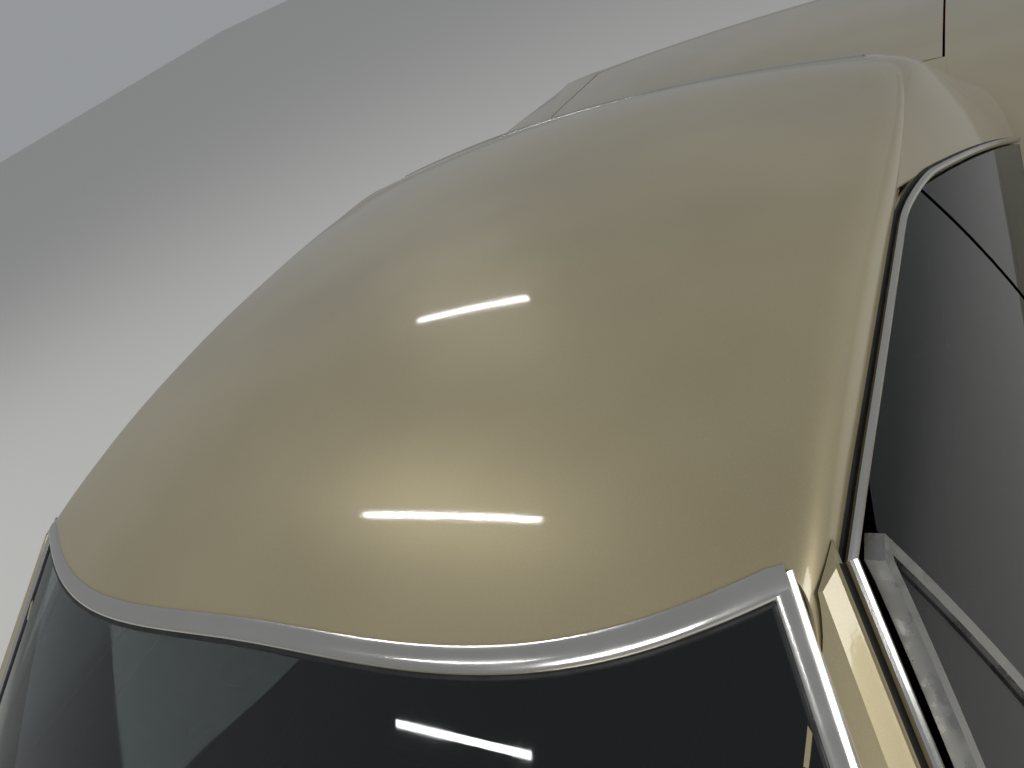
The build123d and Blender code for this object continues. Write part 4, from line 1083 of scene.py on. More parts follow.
HEAD_STRIP = strip(
    (-2, 0.4), (-1.6, 2.6), (1, 4.2), (6, 5.4), (12, 5.9), (18, 5.2), (22, 3.4), (24, 1.4), (24, -0.6),
    (-2, -0.6),
)
SIDE_STRIP = strip((-4, -1), (-4, 2.0), (-1, 4.2), (5, 5.2), (11, 4.8), (16, 3.2), (18, 1.2), (18, -1))
RUBBER_EDGE = strip((0, -0.6), (0, 1.4), (1.5, 2.2), (4, 1.8), (5.5, 0.2), (5.5, -0.6))
HEAD_WIDTH, SIDE_WIDTH = 0.024, 0.018
SCREENS = ((WINDSHIELD, AHEAD_AND_UP, FRONT_SPAN, 0.915), (BACKLIGHT, BEHIND_AND_UP, REAR_SPAN, 0.965))


class HARDTOP_OT_screen_trim(bpy.types.Operator):
    """Bright mouldings and rubber round the windshield and the backlight"""

    bl_idname = "hardtop.screen_trim"
    bl_label = "Windshield and backlight trim"

    def execute(self, context):
        bright, rubber = [], []

        def moulding(path, up, inward, section, width):
            """A bright strip along the glass's edge and the rubber beside it."""
            bright.append(carried(path, up, inward, section))
            rubber.append(carried(path + inward * width, up, inward, RUBBER_EDGE))

        for lines, outward, span, low_z in SCREENS:
            t, z = roof_head(lines, *span)
            path = on_glass(lines, t, z)
            down = unit(on_glass(lines, t, z - 0.01) - path)
            moulding(path, glass_normal(lines, t, z, outward), down, HEAD_STRIP, HEAD_WIDTH)
            for end in (-1.0, 1.0):
                zs = np.linspace(z[0] - 0.003, low_z, 40)
                path = on_glass(lines, end, zs)
                inward = unit(on_glass(lines, end * 0.97, zs) - path)
                moulding(path, glass_normal(lines, end * 0.985, zs, outward), inward, SIDE_STRIP, SIDE_WIDTH)
            ts = np.linspace(-0.995, 0.995, 61)
            path = on_glass(lines, ts, low_z)
            rise = unit(on_glass(lines, ts, low_z + 0.01) - path)
            moulding(path, glass_normal(lines, ts * 0.98, low_z, outward), rise, SIDE_STRIP, SIDE_WIDTH)
        put("screen_mouldings", joined(*bright), "body", "stainless")
        put("screen_rubber", joined(*rubber), "body", "seal_rubber")
        return {"FINISHED"}


# The drip gutter's centre along the roof as (y, z), and how far the pillar's outer edge stands out of the
# windshield's end and behind it: height, outwards and rearwards, at its foot and at its head, in metres
DRIP_LINE = ((-0.385, 1.240), (-0.25, 1.249), (0.0, 1.252), (0.20, 1.252))
PILLAR_FOOT, PILLAR_HEAD = (0.908, 0.049, 0.044), (1.256, 0.026, 0.045)
GUTTER = strip((-8, -4), (-8, 7), (-6.5, 8.5), (-5, 7), (-5, 1.5), (5, 1.5), (6, -1), (6, -4))
# A thin strip in the black rubber finish on the gutter's floor: painted shade for the dark gap in the channel.
GUTTER_SEAL = strip((-5, 1), (-5, 2.2), (4.6, 2.2), (5, 1))
DRIP_BRIGHT = strip(
    (-10.5, 5.5), (-10.5, 9.5), (-8, 12.6), (-4, 13.6), (-0.5, 12), (0.4, 9), (-2, 8.2), (-4.5, 7.4), (-7, 7)
)


def evened(path, times):
    """A path with each point drawn to the mean of its neighbours, some times over, its ends kept."""
    for _ in range(times):
        path[1:-1] = (path[:-2] + 2 * path[1:-1] + path[2:]) / 4
    return path


def drip_path():
    """Centre of the drip gutter on the roof's left side, and on down the sail panel's front edge."""
    z = np.linspace(1.238, 0.962, 90)
    rail = smooth_line(DRIP_LINE, 90) - (0, 0.007)
    flat = evened(np.concatenate([rail, np.stack([sail_line(z) + 0.003, z], 1)]), 40)
    return evened(laid(["sail_panels", "roof"], np.insert(flat, 0, 1.0, axis=1), -ACROSS)[0], 8)


def pillar_path():
    """Outer edge of the left windshield pillar, from its foot to its head."""
    z = np.linspace(1.250, 0.93, 30)[::-1]
    k = (z - PILLAR_FOOT[0]) / (PILLAR_HEAD[0] - PILLAR_FOOT[0])
    out, back = (foot + k * (head - foot) for foot, head in zip(PILLAR_FOOT[1:], PILLAR_HEAD[1:]))
    return on_glass(WINDSHIELD, 1.0, z) + np.stack([out, back, 0 * z], -1)


class HARDTOP_OT_drip_trim(bpy.types.Operator):
    """Drip gutters with bright mouldings and a black strip of painted shade on each gutter's floor: over the door,
    behind the quarter window and down the pillar
    """

    bl_idname = "hardtop.drip_trim"
    bl_label = "Drip gutters and mouldings"

    def execute(self, context):
        courses = []
        for path, outward in ((drip_path(), (1.0, 0.0, 0.45)), (pillar_path(), (1.0, -0.15, 0.35))):
            tangent = unit(np.gradient(path, axis=0))
            out = unit(outward - tangent * (tangent @ outward)[:, None])
            upward = unit(np.cross(tangent, out))
            courses.append((path, out, upward * np.sign(upward @ np.array([-0.3, -0.25, 1.0]))[:, None]))
        # The gutter's floor gets a black strip, painted shade for the dark gap, beside the painted gutter and the
        # bright moulding.
        for name, section, finish_name in (
            ("drip_gutters", GUTTER, "gold_paint"),
            ("drip_seal", GUTTER_SEAL, "seal_rubber"),
            ("drip_mouldings", DRIP_BRIGHT, "stainless"),
        ):
            put(name, both(joined(*[carried(*course, section) for course in courses])), "body", finish_name)
        return {"FINISHED"}


# Wheels

WHEELS = {"fl": (1, -1.605), "fr": (-1, -1.605), "rl": (1, 1.315), "rr": (-1, 1.315)}
WHEEL_X, HUB_Z = 0.737, 0.334
# The tyre's side as half width and radius, in millimetres, from its bead to its shoulder
TYRE_SIDE = (
    (82, 181.5), (82, 194), (89, 199), (95.5, 212), (101.5, 230), (105, 246), (106.6, 258), (106, 270),
    (103.2, 285), (100.6, 296), (96.6, 310), (92, 320), (89.5, 325),
)
TYRE_STEPS, TREAD_COLUMNS, TREAD_HALF, TREAD_RADIUS = 420, 69, 87, 334
GROOVES, GROOVE_DEPTH = (-48, -17, 17, 48), 6.5


def tyre_shape(place):
    """A bias-belted tyre turned about X, its tread radius r(x, a) = R - 2.5 (x / 77)^2 - 6.5 G(x, a), where G
    is 1 in four grooves that zigzag as 2.5 sin(36 a), 0.9 in 60 slots on each shoulder and 0.5 in sipes."""
    angle = np.linspace(0, 2 * np.pi, TYRE_STEPS, endpoint=False)[:, None]
    side = np.array(TYRE_SIDE, float)
    x = np.linspace(TREAD_HALF, -TREAD_HALF, TREAD_COLUMNS)[None, :]
    radius = TREAD_RADIUS - 2.5 * (x / 77) ** 2 - np.clip((abs(x) - 77) / 10, 0, 1) ** 2 * 3
    zig = 2.5 * np.sin(36 * angle)
    groove = np.max([np.clip((4.4 - abs(x - line - zig)) / 1.4, 0, 1) for line in GROOVES], axis=0)
    slot = (np.sin(60 * angle) > 0.72) & (abs(x) > 60)
    sipe = (np.sin(60 * angle + 1.4) > 0.9) & (abs(x) < 42)
    tread = radius - GROOVE_DEPTH * np.maximum.reduce([groove, slot * 0.9, sipe * 0.5])
    ribs = 0.5 * (np.sin(np.linspace(0, 26, len(side))) > 0.4)
    wall_x, wall_r = side[:, 0] - ribs, np.tile(side[:, 1], (TYRE_STEPS, 1))
    x = np.concatenate([wall_x, x[0], -wall_x[::-1]])
    r = np.concatenate([wall_r, tread, wall_r[:, ::-1]], 1)
    points = np.stack([np.broadcast_to(x, r.shape), r * np.cos(angle), r * np.sin(angle)], -1) * MM
    return points.reshape(-1, 3) + place, [grid_faces(TYRE_STEPS, len(x), True, True)]


class HARDTOP_OT_tyres(bpy.types.Operator):
    """Tyres with their tread, in place of the plain ones"""

    bl_idname = "hardtop.tyres"
    bl_label = "Tyres"

    def execute(self, context):
        for name, (side, y) in WHEELS.items():
            shape = tyre_shape(np.array([side * WHEEL_X, y, HUB_Z]))
            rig.replaces(put(f"tread_{name}", shape, f"wheel_{name}", "tyre_rubber", sharp=30), f"tyre_{name}")
        return {"FINISHED"}


TRIM_RING = strip(
    (84, 168), (90, 170), (95, 176), (97.4, 184), (96.8, 190), (94, 193), (90.5, 192.4), (88, 186)
)
HUB_CAP = strip(
    (60, 49), (66, 49.5), (70, 47), (76, 43), (80, 36), (81, 33), (83, 31), (86, 20), (87, 8), (87, 0.4)
)
WHEEL_NUT = strip((48, 0.1), (48, 10.5), (60, 10.5), (62, 9), (67, 8), (69, 5), (69.5, 0.1))
VALVE_STEM = strip((0, 0.1), (0, 6), (4, 6), (7, 4), (26, 3.6), (26, 4.6), (36, 4.6), (38, 3), (38, 0.1))
NUT_CIRCLE, NUTS = 60.3 * MM, 5
VALVE_OUT, VALVE_CIRCLE = 0.034, 0.158


def on_circle(radius, angle):
    """A point of a circle in the plane of Y and Z."""
    return radius * np.array([0, math.cos(angle), math.sin(angle)])


class HARDTOP_OT_wheel_trim(bpy.types.Operator):
    """Bright trim rings, hub caps, wheel nuts and valves"""

    bl_idname = "hardtop.wheel_trim"
    bl_label = "Wheel trim"

    def execute(self, context):
        for name, (side, y) in WHEELS.items():
            centre, axis = np.array([side * WHEEL_X, y, HUB_Z]), side * ACROSS
            body = f"wheel_{name}"
            ring, cap = turned(TRIM_RING, centre, axis, 96, closed=True), turned(HUB_CAP, centre, axis, 64)
            put(f"wheel_bright_{name}", joined(ring, cap), body, "stainless")
            places = [centre + on_circle(NUT_CIRCLE, (i + 0.5) * 2 * np.pi / NUTS) for i in range(NUTS)]
            nuts = [turned(WHEEL_NUT, place, axis, 6) for place in places]
            put(f"wheel_nuts_{name}", joined(*nuts), body, "chrome", sharp=25)
            seat = centre + VALVE_OUT * axis + on_circle(VALVE_CIRCLE, math.pi / NUTS)
            put(f"wheel_valve_{name}", turned(VALVE_STEM, seat, axis, 16), body, "seal_rubber")
        return {"FINISHED"}


# Outside trim, its strips in millimetres and its places in metres

ARCH_STRIP = ((-5, -1), (-5, 2), (-3, 4.5), (1, 5.5), (4, 4), (5, 1), (5, -1))
BELT_STRIP = ((-6, -1), (-6, 1.5), (-4, 3.6), (0, 4.6), (4, 3.6), (6, 1.5), (6, -1))
BELT_WIPER = ((-2.6, -1), (-2.6, 5), (0, 6.5), (2.6, 5), (2.6, -1))
ROCKER_HALF = ((6, 3), (10, 4.4), (12, 3), (17, 4), (20, 2), (20, -1))
ROCKER_STRIP = (*((-a, b) for a, b in reversed(ROCKER_HALF)), *ROCKER_HALF)
# Wheel arches: y and z of the centre, radius, and the panel each is cut in
ARCHES = ((-1.605, 0.334, 0.374, "fender"), (1.315, 0.310, 0.362, "quarter"))
# The arch moulding's distance outside the arch, and how far past level it runs, in radians
ARCH_LIP, ARCH_PAST = 0.006, 0.35
# Sill mouldings: the panel each lies on and its two ends
SILLS = (("door", -0.975, 0.322), ("quarter", 0.345, 2.36))
SILL_Z = 0.335
REAR_WHEEL_Y, SILL_CLEAR = 1.315, 0.42
BELT_ENDS, BELT_OUT, BELT_GLASS_Z, BELT_ABOVE, WIPER_IN = (-0.70, 0.295), 0.017, 0.9, 1.02, 0.0085


class HARDTOP_OT_side_trim(bpy.types.Operator):
    """Wheel-arch, belt and sill mouldings"""

    bl_idname = "hardtop.side_trim"
    bl_label = "Side mouldings"

    def execute(self, context):
        arches = []
        for y, z, radius, node in ARCHES:
            for name, side in SIDES:
                angles = np.linspace(-ARCH_PAST, math.pi + ARCH_PAST, 90)
                round_arch = [on_circle(radius + ARCH_LIP, a) for a in angles]
                starts = np.array([side * OUTSIDE, y, z]) + round_arch
                arches.append(on_surface(*laid([f"{node}_{name}"], starts, -side * ACROSS), ARCH_STRIP))
        put("arch_mouldings", joined(*arches), "body", "stainless")
        for name, side in SIDES:
            door = f"door_{name}"
            for label, y0, y1 in SILLS:
                starts = [(side * OUTSIDE, y, SILL_Z) for y in np.linspace(y0, y1, 60)]
                path, normal = laid([f"{label}_{name}"], starts, -side * ACROSS)
                ahead = path[:, 1] < REAR_WHEEL_Y - SILL_CLEAR
                body = door if label == "door" else "body"
                strip_shape = on_surface(path[ahead], normal[ahead], ROCKER_STRIP)
                put(f"sill_moulding_{label}_{name}", strip_shape, body, "stainless")
            x = side * (side_glass_x(BELT_GLASS_Z) + BELT_OUT)
            path, normal = laid([door], [(x, y, BELT_ABOVE) for y in np.linspace(*BELT_ENDS, 50)], -UPWARDS)
            put(f"belt_moulding_{name}", on_surface(path, normal, BELT_STRIP), door, "stainless")
            wiper = on_surface(path - side * WIPER_IN * ACROSS, normal, BELT_WIPER)
            put(f"belt_wiper_{name}", wiper, door, "seal_rubber")
        return {"FINISHED"}


# Door handles: y and half length of the two feet, their sizes, then sections of grip, button and lock
HANDLE_FEET, HANDLE_Z, LOCK_PLACE = ((0.100, 0.017), (0.232, 0.026)), 0.815, (0.232, 0.768)
HANDLE_FOOT_WIDE, HANDLE_FOOT_THICK, HANDLE_OUT, HANDLE_BOW, BUTTON_OUT = 0.030, 0.010, 0.008, 0.018, 0.006
HANDLE_GRIP = ((-8, -3), (-8, 1), (-6, 3), (6, 3), (8, 1), (8, -3), (5, -4.5), (-5, -4.5))
HANDLE_BUTTON = ((0, POLE), (0, 0.0115), (0.012, 0.0115), (0.0145, 0.009), (0.0145, POLE))
DOOR_LOCK = (
    (-0.001, 0.012), (0.003, 0.012), (0.005, 0.0105), (0.005, 0.0075), (0.0035, 0.007), (0.0035, POLE)
)


class HARDTOP_OT_door_handles(bpy.types.Operator):
    """Door handles with push buttons, and locks"""

    bl_idname = "hardtop.door_handles"
    bl_label = "Door handles"

    def execute(self, context):
        for name, side in SIDES:
            node, shapes, ends = f"door_{name}", [], []
            for y, half in HANDLE_FEET:
                where, normal = facing(node, (side * OUTSIDE, y, HANDLE_Z), -side * ACROSS)
                ends += [where, normal]
                axes = np.array([TAILWARDS, unit(np.cross(normal, TAILWARDS)), normal])
                foot_half = (half, HANDLE_FOOT_WIDE / 2, HANDLE_FOOT_THICK / 2)
                shapes.append(rounded_box(where + normal * 0.003, foot_half, 0.004, axes))
            a, na, b, nb = ends
            t = np.linspace(0, 1, 24)[:, None]
            rise = HANDLE_OUT + HANDLE_BOW * np.sin(np.pi * np.clip(t * 1.1, 0, 1)) ** 0.5
            path = a * (1 - t) + b * t + na * rise
            shapes.append(on_surface(path, na, HANDLE_GRIP))
            shapes.append(turned(HANDLE_BUTTON, b + nb * BUTTON_OUT, nb, 32))
            lock = facing(node, (side * OUTSIDE, *LOCK_PLACE), -side * ACROSS)
            shapes.append(turned(DOOR_LOCK, *lock, 32))
            put(f"door_handle_{name}", joined(*shapes), node, "chrome")
        return {"FINISHED"}


FACE_STRIP = ((-7, -1), (-7, 3), (-4, 6), (2, 7), (6, 4), (7, -1))
LAMP_XS, LAMP_Z = (0.600, 0.770), 0.678
LAMP_BEZEL = (
    (0.002, 0.0735), (0.012, 0.0735), (0.016, 0.076), (0.012, 0.0815), (0.002, 0.083), (-0.006, 0.083),
    (-0.006, 0.0735),
)
LENS_R, LENS_ROWS, LENS_COLS = 0.0725, 28, 72
# Parts on the bumpers: finish, slot, x, z, how far behind the bumper's face, half size, edge radius and steps
FRONT_BUMPER_PARTS = (
    ("front_bumper_guards", "chrome", None, 0.36, 0.50, 0.004, (0.036, 0.022, 0.085), 0.014, 4),
    ("front_guard_pads", "seal_rubber", None, 0.36, 0.50, -0.013, (0.010, 0.0075, 0.070), 0.004, 3),
    ("parking_lamps", "lamp_amber", "lamp_glass", 0.66, 0.492, 0.002, (0.070, 0.007, 0.020), 0.006, 3),
)
REAR_BUMPER_PARTS = (
    ("rear_bumper_guards", "chrome", None, 0.36, 0.52, -0.005, (0.036, 0.022, 0.092), 0.014, 4),
    ("rear_guard_pads", "seal_rubber", None, 0.36, 0.52, 0.0115, (0.010, 0.007, 0.076), 0.004, 3),
    ("reversing_lamps", "lamp_glass", None, 0.62, 0.515, -0.002, (0.062, 0.007, 0.020), 0.006, 3),
)
GRILLE_OUTLINE = (-0.872, 0.872, 0.557, 0.799, 0.03)


def headlamp_lens(centre):
    """A fluted lens bulging ahead: out = 10 mm (1 - (r / R)^2) + 1.5 mm + 0.7 mm cos(2 pi x / 9 mm)."""
    r = np.linspace(0.0004, LENS_R, LENS_ROWS)[:, None]
    a = np.linspace(0, 2 * np.pi, LENS_COLS, endpoint=False)
    u, v = r * np.cos(a), r * np.sin(a)
    flute = 0.0007 * np.cos(u / 0.009 * 2 * np.pi) * np.clip((0.066 - r) / 0.01, 0, 1)
    out = 0.010 * (1 - (r / LENS_R) ** 2) + 0.0015 + flute
    points = (centre + np.stack([u, -out, v], -1)).reshape(-1, 3)
    return points, [grid_faces(LENS_ROWS, LENS_COLS, False, True), np.arange(LENS_COLS)[None, :]]


def framed(nodes, outline, ahead):
    """A bright strip round an outline (x, z) laid on the nodes from far off, ahead being -1 or 1 along Y."""
    path, _ = laid(nodes, [(x, ahead * FAR, z) for x, z in outline], -ahead * TAILWARDS)
    return on_surface(path, ahead * TAILWARDS, FACE_STRIP, closed=True)


def on_bumper(node, ahead, x, z, behind, half, radius, steps):
    """A rounded box on each half of a bumper, at x and z and some way behind its face."""
    starts = [(side * x, ahead * FAR, z) for _, side in SIDES]
    faces, _ = laid([node], starts, -ahead * TAILWARDS)
    return joined(*[rounded_box(face + behind * TAILWARDS, half, radius, None, steps) for face in faces])


class HARDTOP_OT_nose_trim(bpy.types.Operator):
    """Grille surround, headlamp bezels and lenses, parking lamps and front bumper guards"""

    bl_idname = "hardtop.nose_trim"
    bl_label = "Nose trim"

    def execute(self, context):
        bright, lenses = [framed(["nose_panel"], rounded_outline(*GRILLE_OUTLINE), -1)], []
        for side_x in (side * x for _, side in SIDES for x in LAMP_XS):
            centre, _ = first_hit(["headlamps"], (side_x, -FAR, LAMP_Z), TAILWARDS)
            bright.append(turned(LAMP_BEZEL, centre, -TAILWARDS, 72, closed=True))
            lenses.append(headlamp_lens(centre))
        put("nose_mouldings", joined(*bright), "body", "stainless")
        put("headlamp_lenses", joined(*lenses), "body", "lamp_glass", sharp=60)
        for name, finish_name, slot, *part in FRONT_BUMPER_PARTS:
            put(name, on_bumper("bumper_front", -1, *part), "body", finish_name, slot)
        return {"FINISHED"}


TAIL_LAMP_ENDS, TAIL_LAMP_Z, TAIL_BAR_Z = (0.534, 0.806), (0.649, 0.766), (0.667, 0.748)
TAIL_LAMP_CORNER, TAIL_BARS_FROM, TAIL_BARS_OVER = 0.012, 0.54, 0.26
TAIL_BAR = ((-3, -1), (-3, 2), (-1, 3.6), (1, 3.6), (3, 2), (3, -1))
PLATE_HALF, PLATE_Z, BOLT_OUT = (0.1525, 0.0008, 0.0762), 0.69, 0.005
PLATE_OUTLINE, BOLT_XS, BOLT_ZS = (-0.149, 0.149, 0.617, 0.763, 0.008), (-0.089, 0.089), (0.6295, 0.7505)
PLATE_RIM = ((-1.2, -0.5), (-0.6, 0.8), (0.6, 0.8), (1.2, -0.5))
PLATE_BOLT = ((-0.010, 0.003), (0, 0.003), (0, 0.0062), (0.003, 0.0058), (0.0042, 0.003), (0.0042, POLE))
TIP_END, TIP_AXIS = (0.330, 2.482, 0.250), (0.025, 0.58, 0.054)
EXHAUST_TIP = ((-0.11, 0.0275), (0.0, 0.0275), (0.004, 0.0295), (0.0, 0.0312), (-0.11, 0.0312))


class HARDTOP_OT_tail_trim(bpy.types.Operator):
    """Tail-lamp bezels, reversing lamps, a blank plate, bumper guards and exhaust tips"""

    bl_idname = "hardtop.tail_trim"
    bl_label = "Tail trim"

    def execute(self, context):
        bright = []
        for _, side in SIDES:
            ends = sorted(side * x for x in TAIL_LAMP_ENDS)
            outline = rounded_outline(*ends, *TAIL_LAMP_Z, TAIL_LAMP_CORNER)
            bright.append(framed(["tail_panel", "tail_lamps"], outline, 1))
            for k in (1, 2):
                x = side * (TAIL_BARS_FROM + TAIL_BARS_OVER * k / 3)
                starts = [(x, FAR, z) for z in np.linspace(*TAIL_BAR_Z, 8)]
                bright.append(on_surface(laid(["tail_lamps"], starts, -TAILWARDS)[0], TAILWARDS, TAIL_BAR))
        put("tail_lamp_bezels", joined(*bright), "body", "stainless")
        y = first_hit(["tail_panel"], (0.2, FAR, PLATE_Z), -TAILWARDS)[0][1]
        plate = rounded_box((0, y + 0.004, PLATE_Z), PLATE_HALF, 0.0007, None, 1)
        outline = rounded_outline(*PLATE_OUTLINE)
        rim = np.insert(outline, 1, y + BOLT_OUT, axis=1)
        edge = on_surface(rim, TAILWARDS, PLATE_RIM, True)
        put("blank_plate", joined(plate, edge), "body", "plate_enamel", "anodised_aluminium")
        places = [(x, y + BOLT_OUT, z) for x in BOLT_XS for z in BOLT_ZS]
        put("plate_bolts", joined(*[turned(PLATE_BOLT, p, TAILWARDS, 20) for p in places]), "body", "steel")
        for name, finish_name, slot, *part in REAR_BUMPER_PARTS:
            put(name, on_bumper("bumper_rear", 1, *part), "body", finish_name, slot)
        put("exhaust_tips", both(turned(EXHAUST_TIP, TIP_END, TIP_AXIS, 40, closed=True)), "body", "chrome")
        return {"FINISHED"}


# Wipers: x of the pivot, then t of the blade's foot and tip on the windshield; how the arms and blades lie
WIPERS = ((0.42, 0.52, 0.02), (-0.10, -0.06, -0.52))
COWL_Y, WIPER_PIVOT_Z, WIPER_LIFT, WIPER_ARCH = -0.93, 0.94, 0.018, 0.010
WIPER_ARM_Z, BLADE_FOOT_Z, BLADE_RISE = 1.02, 0.985, 0.035
COWL_SLOTS_HALF, COWL_SLOT_HALF, COWL_SLOT_OUT = 0.54, (0.012, 0.026, 0.0012), 0.0002
WIPER_ARM = ((-4, -1.5), (-4, 1), (0, 2.5), (4, 1), (4, -1.5))
WIPER_CAP = ((-0.02, 0.010), (0.012, 0.012), (0.018, 0.008), (0.018, POLE))
WIPER_BLADE = ((-1, 0.5), (-1, 7), (-4, 7), (-4, 11), (4, 11), (4, 7), (1, 7), (1, 0.5))
MIRROR_FACE, MIRROR_PLACE = ((0.0, 0.048), (0.0015, 0.047), (0.0018, POLE)), (0.868, -0.672, 0.992)


class HARDTOP_OT_cowl_trim(bpy.types.Operator):
    """Wipers, dark patches of painted shade for the cowl's air slots, and the face of the door mirror"""

    bl_idname = "hardtop.cowl_trim"
    bl_label = "Cowl trim"

    def execute(self, context):
        arms, blades = [], []
        t = np.linspace(0, 1, 18)[:, None]
        for pivot, foot, tip in WIPERS:
            end = on_glass(WINDSHIELD, (foot + tip) / 2, WIPER_ARM_Z)
            normal = glass_normal(WINDSHIELD, (foot + tip) / 2, 1.0, AHEAD_AND_UP)
            base = np.array([pivot, COWL_Y, WIPER_PIVOT_Z])
            line = base + (end + normal * WIPER_LIFT - base) * t + normal * WIPER_ARCH * np.sin(np.pi * t)
            arms += [on_surface(line, normal, WIPER_ARM), turned(WIPER_CAP, base, (0, -0.3, 1), 28)]
            s = np.linspace(foot, tip, 40)
            z = BLADE_FOOT_Z + BLADE_RISE * (s - foot) / (tip - foot)
            up = glass_normal(WINDSHIELD, s, z, AHEAD_AND_UP)
            blades.append(on_surface(on_glass(WINDSHIELD, s, z), up, WIPER_BLADE))
        put("wiper_arms", joined(*arms), "body", "stainless")
        put("wiper_blades", joined(*blades), "body", "seal_rubber")
        # The air slots are not cut: thin patches in the black rubber finish, laid on the cowl, are painted shade for
        # the openings.
        starts = [(x, COWL_Y, ABOVE) for x in np.linspace(-COWL_SLOTS_HALF, COWL_SLOTS_HALF, 28)]
        places, _ = laid(["cowl_and_pillars"], starts, -UPWARDS)
        slots = [rounded_box(p + COWL_SLOT_OUT * UPWARDS, COWL_SLOT_HALF, 0.001, None, 2) for p in places]
        put("cowl_slots", joined(*slots), "body", "seal_rubber")
        put("mirror_face", turned(MIRROR_FACE, MIRROR_PLACE, TAILWARDS, 48), "door_left", "mirror", "chrome")
        return {"FINISHED"}


# Seats

VOXEL, CLOTH_FRAMES, CLOTH_QUALITY, STUFFING_PRESSURE = 0.012, 20, 3, 4
MOST_SWELL, FILL = 0.024, 0.7
CHANNEL_WIDTH, CHANNEL_FADE = 0.0055, 0.015


def corners_of(mesh):
    """A mesh's vertices as an array."""
    points = np.empty(len(mesh.vertices) * 3)
    mesh.vertices.foreach_get("co", points)
    return points.reshape(-1, 3)


def bake_modifiers(piece):
    """Replaces a piece's mesh by the result of its modifiers."""
    graph = bpy.context.evaluated_depsgraph_get()
    baked = bpy.data.meshes.new_from_object(piece.evaluated_get(graph), depsgraph=graph)
    piece.modifiers.clear()
    piece.data = baked


def swell(piece):
    """Blows a piece up as pressed cloth, no point of it moving more than MOST_SWELL."""
    start, scene = corners_of(piece.data), bpy.context.scene
    cloth = piece.modifiers.new("cloth", "CLOTH")
    cloth.settings.quality = CLOTH_QUALITY
    cloth.settings.use_pressure = True
    cloth.settings.uniform_pressure_force = STUFFING_PRESSURE
    cloth.settings.effector_weights.gravity = 0
    cloth.point_cache.frame_start, cloth.point_cache.frame_end = 1, CLOTH_FRAMES
    for step in range(1, CLOTH_FRAMES + 1):
        scene.frame_set(step)
    bake_modifiers(piece)
    scene.frame_set(1)
    move = corners_of(piece.data) - start
    length = np.linalg.norm(move, axis=1, keepdims=True)
    move *= np.minimum(1, MOST_SWELL / np.maximum(length, 1e-9))
    piece.data.vertices.foreach_set("co", (start + move).ravel())


def press_channels(piece, centre, half, axes, channels):
    """Moves the points of a cushion's top down into its sewn lines."""
    points = corners_of(piece.data)
    local = (points - centre) @ axes.T
    on_top = np.clip((local[:, 2] / half[2] - 0.2) / 0.4, 0, 1)
    for across, place, start, end, depth in channels:
        run = local[:, 1 - across]
        inside = np.clip((run - start) / CHANNEL_FADE, 0, 1) * np.clip((end - run) / CHANNEL_FADE, 0, 1)
        push = depth * np.exp(-(((local[:, across] - place) / CHANNEL_WIDTH) ** 2)) * inside * on_top
        points -= push[:, None] * axes[2]
    piece.data.vertices.foreach_set("co", points.ravel())
    piece.data.update()


def cushion(name, core, axes, channels):
    """A padded piece: its core swollen by a cloth simulation, then sewn channels pressed into its top.

    core is (centre, half size, radius); axes are its across, along and upward directions; channels lists
    (coordinate 0 or 1, position, from, to, depth) for lines sewn on the top: depth * exp(-(d / 5.5 mm)^2)."""
    centre, half, radius = core
    piece = put(name, rounded_box(centre, half, radius, axes, 6), "body", "vinyl", sharp=60)
    remesh = piece.modifiers.new("remesh", "REMESH")
    remesh.mode, remesh.voxel_size = "VOXEL", VOXEL
    bake_modifiers(piece)
    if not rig.quick():
        swell(piece)
    smooth = piece.modifiers.new("smooth", "SUBSURF")
    smooth.levels = smooth.render_levels = 1
    bake_modifiers(piece)
    press_channels(piece, centre, half, axes, channels)
    piece.data.shade_smooth()
    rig.padded(piece, FILL)
    return piece


def pleats(first, last, count, start, end, depth=0.006):
    """Evenly spaced channels, each at a place across and running from start to end."""
    return [(0, p, start, end, depth) for p in np.linspace(first, last, count)]


def tilted(degrees):
    """Axes of a seat back leaning rearwards: across, up the back, and forwards out of its face."""
    a = math.radians(degrees)
    return np.array([(-1.0, 0, 0), (0, math.sin(a), math.cos(a)), (0, -math.cos(a), math.sin(a))])


# The front seats: x, then y and z of each part's middle, its half sizes, and the lean in degrees
SEAT_X, SEAT_PLACE, SEAT_HALF = 0.405, (-0.070, 0.408), (0.232, 0.243, 0.055)
BACK_FOOT, BACK_MIDDLE, BACK_HALF, SEAT_LEAN = (0.175, 0.470), 0.19, (0.226, 0.205, 0.044), 14
SHELL_BEHIND, SHELL_HALF = 0.046, (0.222, 0.20, 0.012)
BASE_PLACE, BASE_HALF = (-0.065, 0.302), (0.20, 0.205, 0.036)
FOOT_IN, FOOT_YS, FOOT_Z, FOOT_HALF = 0.15, (-0.20, 0.08), 0.268, (0.012, 0.03, 0.006)
HINGE_HALF, HINGE_PLACE = 0.243, (0.165, 0.452)
# The rear bench: middle and half sizes of its parts, lean in degrees, and its seats' distance out
BENCH_PLACE, BENCH_HALF, BENCH_SIDE = (0, 0.655, 0.448), (0.655, 0.175, 0.050), 0.33
BENCH_BACK_FOOT, BENCH_BACK_MIDDLE = (0, 0.866, 0.474), 0.205
BENCH_BACK_HALF, BENCH_LEAN = (0.612, 0.192, 0.040), 18.2
BENCH_BASE_PLACE, BENCH_BASE_HALF = (0, 0.690, 0.330), (0.60, 0.16, 0.062)
SEAT_HINGE = ((-0.014, POLE), (-0.014, 0.022), (-0.006, 0.026), (0.006, 0.026), (0.014, 0.022), (0.014, POLE))


